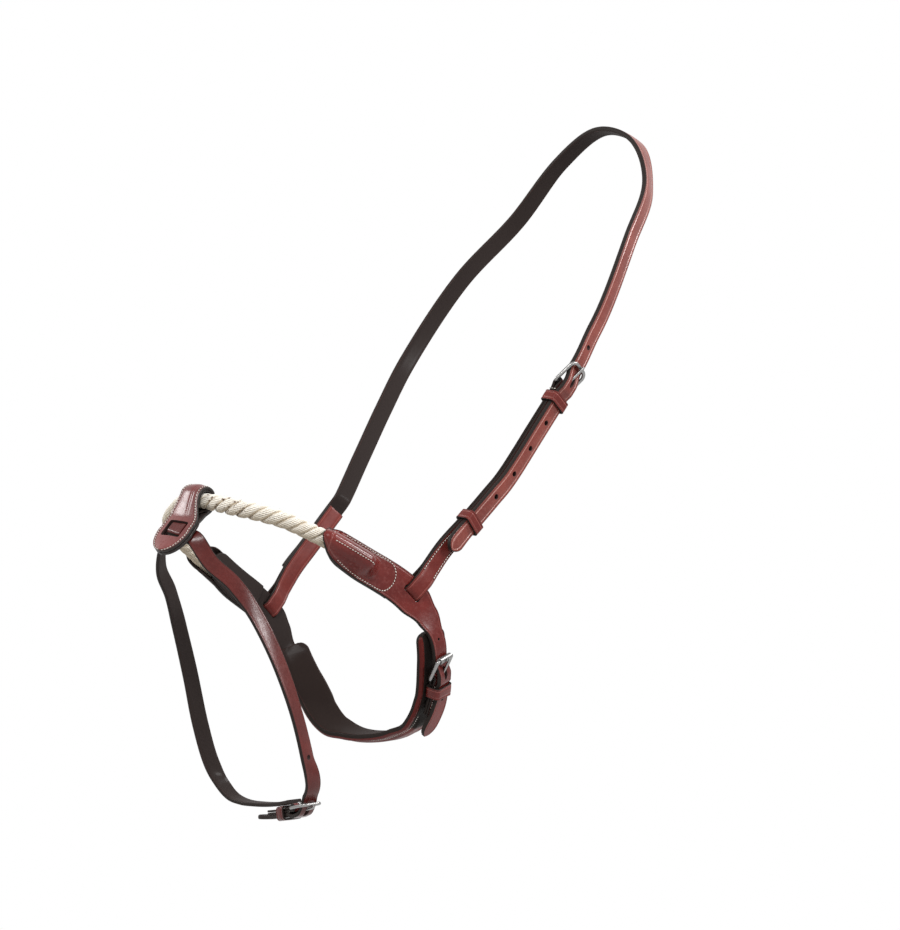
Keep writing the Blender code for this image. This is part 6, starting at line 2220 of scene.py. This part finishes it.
@dataclass
class Flash:
    """The flash loop with its tab and bridge, and the flash strap with its buckle."""

    fit: Fit
    layout: Layout
    finishes: Finishes
    loop_length: float = 48.5 * MM
    wide_at: float = 0.6
    end_fullness: float = 0.9
    join: float = 18.5 * MM
    ply: float = 2.15 * MM
    tab_ply: float = 1.0 * MM
    tab_width: float = 12.5 * MM
    tab_join: float = 13.5 * MM
    bridge_thickness: float = 1.5 * MM
    bridge_width: float = 7.0 * MM
    window_width: float = 16.0 * MM
    window_play: float = 1.0 * MM
    window_drop: float = 0.6 * MM
    window_corner: float = 1.4 * MM
    crown: float = 0.9 * MM
    creases: tuple[float, ...] = (2.2 * MM, 3.6 * MM)
    crease_width: float = 0.7 * MM
    crease_depth: float = 0.25 * MM
    bridge_rise: float = 1.8 * MM
    bridge_lap: float = 4.6 * MM
    bridge_bend: float = 1.6 * MM
    rise: float = 5.2 * MM
    roll_fall: float = 2.2 * MM
    roll_shade_fall: float = 0.9 * MM
    roll_from: float = 0.1
    roll_drift: float = 0.6
    roll_steepness: float = 1.2
    strap_crown: float = 0.3 * MM
    buckle_at: float = 212.0 * MM
    buckle_length: float = 15.0 * MM
    buckle_lift: float = 4.0 * MM
    chape_ply: float = 1.4 * MM
    chape_length: float = 30.0 * MM
    tail: float = 44.0 * MM
    hole: float = 3.0 * MM
    hole_pitch: float = 16.0 * MM
    holes_from: float = 6.0 * MM
    holes: tuple[int, ...] = (-2, 1, 2)
    wire: float = 2.2 * MM
    keeper_wall: float = 1.4 * MM
    setback: float = 8.0 * MM
    stitch_inset: float = 1.6 * MM
    seams: Seams = field(default_factory=lambda: Seams("flash_stitching", Body.FLASH))

    def __post_init__(self) -> None:
        """Set the flash buckle's levels and the loop's radii."""
        gap = self.fit.gap
        self.chape_floor = self.fit.flash_thickness + self.keeper_wall + 2 * gap
        self.buckle = Buckle(
            "flash_buckle", self.layout.flash, bar_at=self.buckle_at,
            bar_out=self.chape_floor + self.chape_ply + gap / 2, strap_width=self.fit.flash_width,
            strap_thickness=self.fit.flash_thickness, strap_low=self.buckle_lift,
            strap_after=self.chape_floor + 2 * self.chape_ply + 2 * gap, ply=self.chape_ply,
            wire=self.wire, length=self.buckle_length, setback=self.setback, gap=gap,
        )
        self.tab_radius = self.fit.rope / 2 - self.fit.rope_squeeze + gap + self.fit.rope_bend
        self.loop_radius = self.tab_radius + self.tab_ply + gap

    def build(self, stitches: StitchTree) -> None:
        """Make every piece of the flash."""
        self._loop()
        self._tab()
        self._bridge()
        self._strap()
        make_chape(self.buckle, self.chape_length, "flash", self.finishes, Body.FLASH, self.seams)
        self.buckle.build(self.finishes, Body.FLASH, Body.FLASH_TONGUE)
        keeper = Keeper(
            self.buckle_at + self.setback + MM, self.fit.flash_width / 2, self.chape_floor,
            self.buckle.strap_after + self.fit.flash_thickness, self.fit.gap, wall=self.keeper_wall,
        )
        keeper.fit_on(self.layout.flash, "flash_keeper", self.finishes.flash, Body.FLASH, Slot.NOSEBAND)
        self.seams.sew(stitches, self.finishes, Slot.LOOP)

    def loop_half(self, down: float) -> float:
        """Return the loop's half width above its rounded end."""
        top, wide = self.fit.loop_top_half, self.fit.loop_half
        return eased([
            (-self.loop_radius, top), (2 * MM, top + 0.3 * MM), (self.loop_length * 0.5, wide - 0.1 * MM),
            (self.loop_length * self.wide_at, wide),
        ], down)

    def _lean(self, down: np.ndarray) -> np.ndarray:
        """Return how far the loop's middle line leans to the off side, most at its top."""
        straight = np.array([ease(place / (self.loop_length * 0.5)) for place in down])
        return self.fit.loop_lean * (1.0 - straight)

    def _place_loop(self, flat: np.ndarray) -> np.ndarray:
        """Lay the loop's leather, whose top leans to the off side, in the world."""
        leaning = flat.copy()
        leaning[:, 1] -= self._lean(flat[:, 0])
        return self.layout.place_loop(leaning)

    @staticmethod
    def teardrop(radius: float, front: tuple[float, float], back: tuple[float, float], turns: int) -> list:
        """Return the line of a leather that goes round the rope, from its back layer to its front.

        Args:
            radius: The radius of the wrap's middle line.
            front: Where the front layer meets the wrap's tangent, as (down, out).
            back: The same of the back layer.
            turns: How many points the wrap has.

        Returns:
            The points round the rope.
        """
        start = math.atan2(back[1], back[0]) - math.acos(radius / math.hypot(*back))
        end = math.atan2(front[1], front[0]) + math.acos(radius / math.hypot(*front))
        start += math.tau if start < end else 0.0
        return arc(0.0, 0.0, radius, np.degrees(np.linspace(start, end, turns)))

    def _loop(self) -> None:
        """Make the loop: a leather folded over the rope, shaped from the front and with a window."""
        front_out = self.fit.loop_face - self.ply / 2
        back_out = self.fit.loop_back + self.ply / 2
        wide = self.loop_length * self.wide_at
        layer = [(down, self.loop_half(down)) for down in spread(self.join, wide, 1.2 * MM)]
        for angle in range(4, 89, 4):
            turn = math.radians(angle)
            down = wide + (self.loop_length - wide) * math.sin(turn) ** self.end_fullness
            layer.append((down, self.fit.loop_half * math.cos(turn) + 0.5 * MM))
        radius = self.loop_radius + self.ply / 2
        wrap = self.teardrop(radius, (self.join, front_out), (self.join, back_out), 34)
        line = [(down, back_out) for down, _ in reversed(layer)]
        halves = [half for _, half in reversed(layer)]
        steps = 5
        line += evenly_between((self.join, back_out), wrap[0], steps)
        line += wrap
        line += evenly_between(wrap[-1], (self.join, front_out), steps)
        halves += [self.loop_half(down) for down, _ in line[len(layer):]]
        line += [(down, front_out) for down, _ in layer]
        halves += [half for _, half in layer]
        style = EdgeStyle(
            rounding=0.55 * MM, inset=self.stitch_inset, depth=0.2 * MM, width=0.6 * MM, columns=34
        )
        over = len(layer) + steps

        def raised(number: int, side: float) -> float:
            """Return how far the loop's front stands up in its middle, less its two fine creases."""
            if number < over:
                return 0.0
            share = min(abs(side) / (halves[number] - self.stitch_inset), 1.0)
            fine = [max(1.0 - abs(side - at) / self.crease_width, 0.0) for at in self.creases]
            fade = 1.0 - ease((line[number][0] - self.join / 2) / (0.6 * self.join))
            crowned = self.crown * (1.0 - share ** 2) * ease((number - over) / steps)
            return crowned - self.crease_depth * fade * max(fine)

        ribbon = Ribbon(np.array(line), np.array(halves), self.ply, style, raised)
        loop = skin("flash_loop_leather", ribbon.rings(), self.finishes.loop)
        middle = self.fit.flash_drop + self.window_drop
        half, side = self.fit.flash_width / 2 + self.window_play, self.window_width / 2
        deep = 20 * MM
        window = SlotCut(middle - half, middle + half, -side, side, -deep, deep, self.window_corner)
        cut(loop, [window.cutter(self.finishes.punched)])
        ride(lay(loop, self._place_loop), Body.FLASH, Slot.LOOP, "flash_loop")
        begin, inset = len(layer) + steps + 4, self.stitch_inset

        def seam(side: float) -> Row:
            """Return the row of stitches along one edge of the loop's front."""
            return ribbon.row(begin, len(line) - 3, lambda number: side * max(halves[number] - inset, 0.0))

        self.seams.add_pair(seam, self._place_loop)

    def _tab(self) -> None:
        """Make the inner tab that wraps the rope inside the loop."""
        middle = (self.fit.loop_face + self.fit.loop_back) / 2
        radius = self.tab_radius + self.tab_ply / 2
        down, out = self.tab_join - 0.9 * MM, middle * self.tab_join / self.join
        ply, apart = self.tab_ply / 2, 0.55 * MM
        wrap = self.teardrop(radius, (down, out + ply), (down, out - ply), 30)
        line = [(down, out - apart), *wrap, (down, out + apart)]
        halves = np.full(len(line), self.tab_width / 2)
        ribbon = Ribbon(np.array(line), halves, self.tab_ply - 0.05 * MM, PLAIN)
        tab = skin("flash_tab_leather", ribbon.rings(), self.finishes.loop)
        lean = np.array((0.0, self.fit.loop_lean / 2, 0.0))
        lay(tab, lambda flat: self.layout.place_loop(flat - lean))
        ride(tab, Body.FLASH, Slot.LOOP, "flash_loop_tab")

    def _bridge(self) -> None:
        """Make the bridge sewn behind the loop, which keeps the flash strap in its window."""
        top = self.fit.loop_back - self.fit.gap - self.bridge_thickness / 2
        level = self.fit.loop_back - 2 * self.fit.gap - self.fit.flash_thickness
        sunk = level + self.bridge_rise - self.fit.gap - self.bridge_thickness / 2
        half = self.fit.flash_width / 2 + 0.4 * MM
        bend, lap = half + self.bridge_bend, half + self.bridge_lap
        stops = [(-lap, top), (-bend, top), (-half, sunk), (half, sunk), (bend, top), (lap, top)]
        places = stretches(
            (-lap, -bend, MM), (-bend, -half, 0.3 * MM), (-half, half, MM), (half, bend, 0.3 * MM),
            (bend, lap, MM),
        )
        line = [(self.fit.flash_drop + place, eased(stops, place)) for place in places]
        ribbon = Ribbon(
            np.array(line), np.full(len(line), self.bridge_width / 2), self.bridge_thickness,
            EdgeStyle(rounding=0.45 * MM, inset=1.3 * MM, depth=0.12 * MM, width=0.4 * MM, columns=2),
        )
        bridge = skin("flash_bridge_leather", ribbon.rings(), self.finishes.loop)
        ride(lay(bridge, self.layout.place_loop), Body.FLASH, Slot.LOOP, "flash_loop_bridge")

    def level(self, along: float) -> float:
        """Return the level of the flash strap's inner face."""
        if abs(along) < self.window_width:
            stops = [(self.window_width / 3, self.rise), (self.window_width / 2 - self.fit.gap, 0.0)]
            return eased(stops, abs(along))
        crossbar = self.buckle_at - self.buckle_length
        if along > crossbar:
            return self.buckle.lift(along)
        return eased([(crossbar - 1.5 * self.buckle_length, 0.0), (crossbar, self.buckle_lift)], along)

    def sunk(self, along: float, side: float) -> float:
        """Return how far the strap's rounded roll falls away at its lower side in the window."""
        reach = self.window_width / 2
        share = min(max((along + reach) / self.window_width, 0.0), 1.0)
        half = self.fit.flash_width / 2
        start = half * (self.roll_from + self.roll_drift * share)
        fall = self.roll_fall * ease(self.roll_steepness * (-side - start) / (half - start))
        return fall * (1.0 - ease((abs(along) - reach + MM) / (2 * MM)))

    def _strap(self) -> None:
        """Make the flash strap from its buckle end, round the nose and through the buckle to its tip."""
        start = self.buckle_at + 5 * MM - self.layout.flash.total
        end = self.buckle_at + self.tail
        half = self.fit.flash_width / 2
        front, tip = self.window_width / 2 + 4 * MM, end - 8 * MM
        crossbar, past = self.buckle_at - self.buckle_length, self.buckle_at + 12 * MM
        coarse, close, fine = 1.8 * MM, 0.9 * MM, 0.6 * MM
        places = stretches(
            (start, -front, coarse), (-front, front, fine), (front, crossbar, coarse),
            (crossbar, past, close), (past, tip, coarse),
        )
        places += tip_places(tip, end)[1:]
        thickness = self.fit.flash_thickness

        def top(along: float, side: float) -> float:
            """Return the level of the outer face, which is slightly crowned."""
            crowned = thickness - self.strap_crown * (side / half) ** 2
            return self.level(along) + crowned - self.sunk(along, side)

        sheet = Sheet(
            places, *tipped(half, end), lambda along, side: self.level(along), top,
            EdgeStyle(rounding=0.8 * MM, inset=1.5 * MM, depth=0.06 * MM, width=0.4 * MM, columns=14),
            # Painted shade: the roll's falling side is painted dark, standing in for the shadowed gap beneath
            # it in the window
            painted_shade=lambda along, side: ease(self.sunk(along, side) / self.roll_shade_fall - 0.5),
        )
        strap = skin("flash_strap_leather", sheet.rings(), self.finishes.flash)
        punches = [self.buckle.hole(-2 * MM, self.level(self.buckle_at) + thickness)]
        holes = [self.buckle_at - self.holes_from + number * self.hole_pitch for number in self.holes]
        punches += round_punches(holes, self.hole, self.level, thickness, below=0.5 * MM)
        cut(strap, [punch.cutter(self.finishes.punched) for punch in punches])
        ride(lay(strap, self.layout.flash.place), Body.FLASH, Slot.NOSEBAND, "flash_strap")


@dataclass(frozen=True)
class Lamp:
    """A soft square light that looks at the object."""

    name: str
    place: tuple[float, float, float]
    size: float
    power: float
    colour: Colour = WHITE

    def build(self, target: Vector) -> None:
        """Hang the lamp and turn it to the target."""
        light = bpy.data.lights.new(self.name, "AREA")
        light.shape = "SQUARE"
        light.size = self.size
        light.energy = self.power
        light.color = self.colour
        lamp = bpy.data.objects.new(self.name, light)
        bpy.context.scene.collection.objects.link(lamp)
        lamp.location = self.place
        lamp.rotation_euler = (target - Vector(self.place)).to_track_quat("-Z", "Y").to_euler()


@dataclass(frozen=True)
class Studio:
    """The pale floor, the soft light and the camera at the photograph's angle."""

    target: tuple[float, float, float] = (0.0, -0.19, -0.26)
    floor_level: float = -0.78
    floor_size: float = 14.0
    camera_place: tuple[float, float, float] = (1.600, -1.490, -0.558)
    azimuth: float = 50.0
    elevation: float = -8.0
    focal_pixels: float = 2980.0
    image_height: float = 930.0
    sensor: float = 36.0
    world_light: float = 0.24
    floor_colour: Colour = (0.5, 0.5, 0.5)
    floor_glow: float = 0.72
    lamps: tuple[Lamp, ...] = (
        Lamp("front", (1.9, -2.2, 1.7), 0.9, 60.0),
        Lamp("back", (1.38, 1.41, 1.60), 0.5, 44.0),
        Lamp("over_nose", (-0.87, -1.45, 0.66), 0.58, 17.0),
        Lamp("side", (1.68, 0.49, 0.40), 0.27, 15.0),
    )

    def build(self) -> None:
        """Make the floor, the lamps, the world and the camera."""
        self._floor()
        self._world()
        for lamp in self.lamps:
            lamp.build(Vector(self.target))
        self._camera()
        bpy.context.scene.view_settings.view_transform = "Standard"

    def _floor(self) -> None:
        """Lay a pale floor that keeps the object's shadow."""
        body = bmesh.new()
        bmesh.ops.create_grid(body, x_segments=1, y_segments=1, size=self.floor_size / 2)
        bmesh.ops.translate(body, verts=body.verts, vec=(0.0, 0.0, self.floor_level))
        mesh = bpy.data.meshes.new("floor")
        body.to_mesh(mesh)
        body.free()
        floor = new_piece("floor", mesh)
        material, graph, shader = shader_of("pale_floor")
        graph.plug(shader, {"Base Color": self.floor_colour, "Roughness": 0.9, "Specular IOR Level": 0.1})
        rays = graph.node("ShaderNodeLightPath").outputs
        seen = graph.math("MAXIMUM", rays["Is Camera Ray"], rays["Is Glossy Ray"])
        own = shader.outputs[0]
        glow = graph.first("ShaderNodeEmission", {"Color": WHITE, "Strength": self.floor_glow})
        both = graph.first("ShaderNodeAddShader", {0: own, 1: glow})
        shown = graph.first("ShaderNodeMixShader", {0: seen, 1: own, 2: both})
        graph.tree.links.new(shown, graph.tree.nodes["Material Output"].inputs[0])
        mesh.materials.append(material)

    def _world(self) -> None:
        """Surround the object with plain soft light, white where the camera sees it."""
        world = bpy.data.worlds.new("studio")
        bpy.context.scene.world = world
        world.use_nodes = True
        graph = Graph(world.node_tree)
        rays = graph.node("ShaderNodeLightPath").outputs
        seen = graph.math("MAXIMUM", rays["Is Camera Ray"], rays["Is Glossy Ray"])
        seen = graph.math("MAXIMUM", seen, rays["Is Transmission Ray"])
        added = graph.math("MULTIPLY", seen, 1.0 - self.world_light)
        strength = graph.math("ADD", self.world_light, added)
        graph.plug(world.node_tree.nodes["Background"], {"Color": WHITE, "Strength": strength})

    def _camera(self) -> None:
        """Stand the camera where the photograph was taken from."""
        data = bpy.data.cameras.new("camera")
        data.sensor_width = self.sensor
        data.lens = self.focal_pixels / self.image_height * self.sensor
        camera = bpy.data.objects.new("camera", data)
        bpy.context.scene.collection.objects.link(camera)
        camera.location = self.camera_place
        turn, rise = math.radians(self.azimuth), math.radians(self.elevation)
        back = Vector((math.sin(turn) * math.cos(rise), -math.cos(turn) * math.cos(rise), math.sin(rise)))
        camera.rotation_euler = (-back).to_track_quat("-Z", "Y").to_euler()
        bpy.context.scene.camera = camera


def main() -> None:
    """Dress the frame as the finished noseband."""
    logging.basicConfig(level=logging.INFO, format="%(message)s")
    for item in list(bpy.data.objects):
        bpy.data.objects.remove(item)
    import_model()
    fit = Fit()
    layout = Layout(fit)
    finishes = Finishes.build()
    stitches = StitchTree()
    Headpiece(fit, layout, finishes).build(stitches)
    Noseband(fit, layout, finishes).build(stitches)
    Flash(fit, layout, finishes).build(stitches)
    Studio().build()


if __name__ == "__main__":
    main()
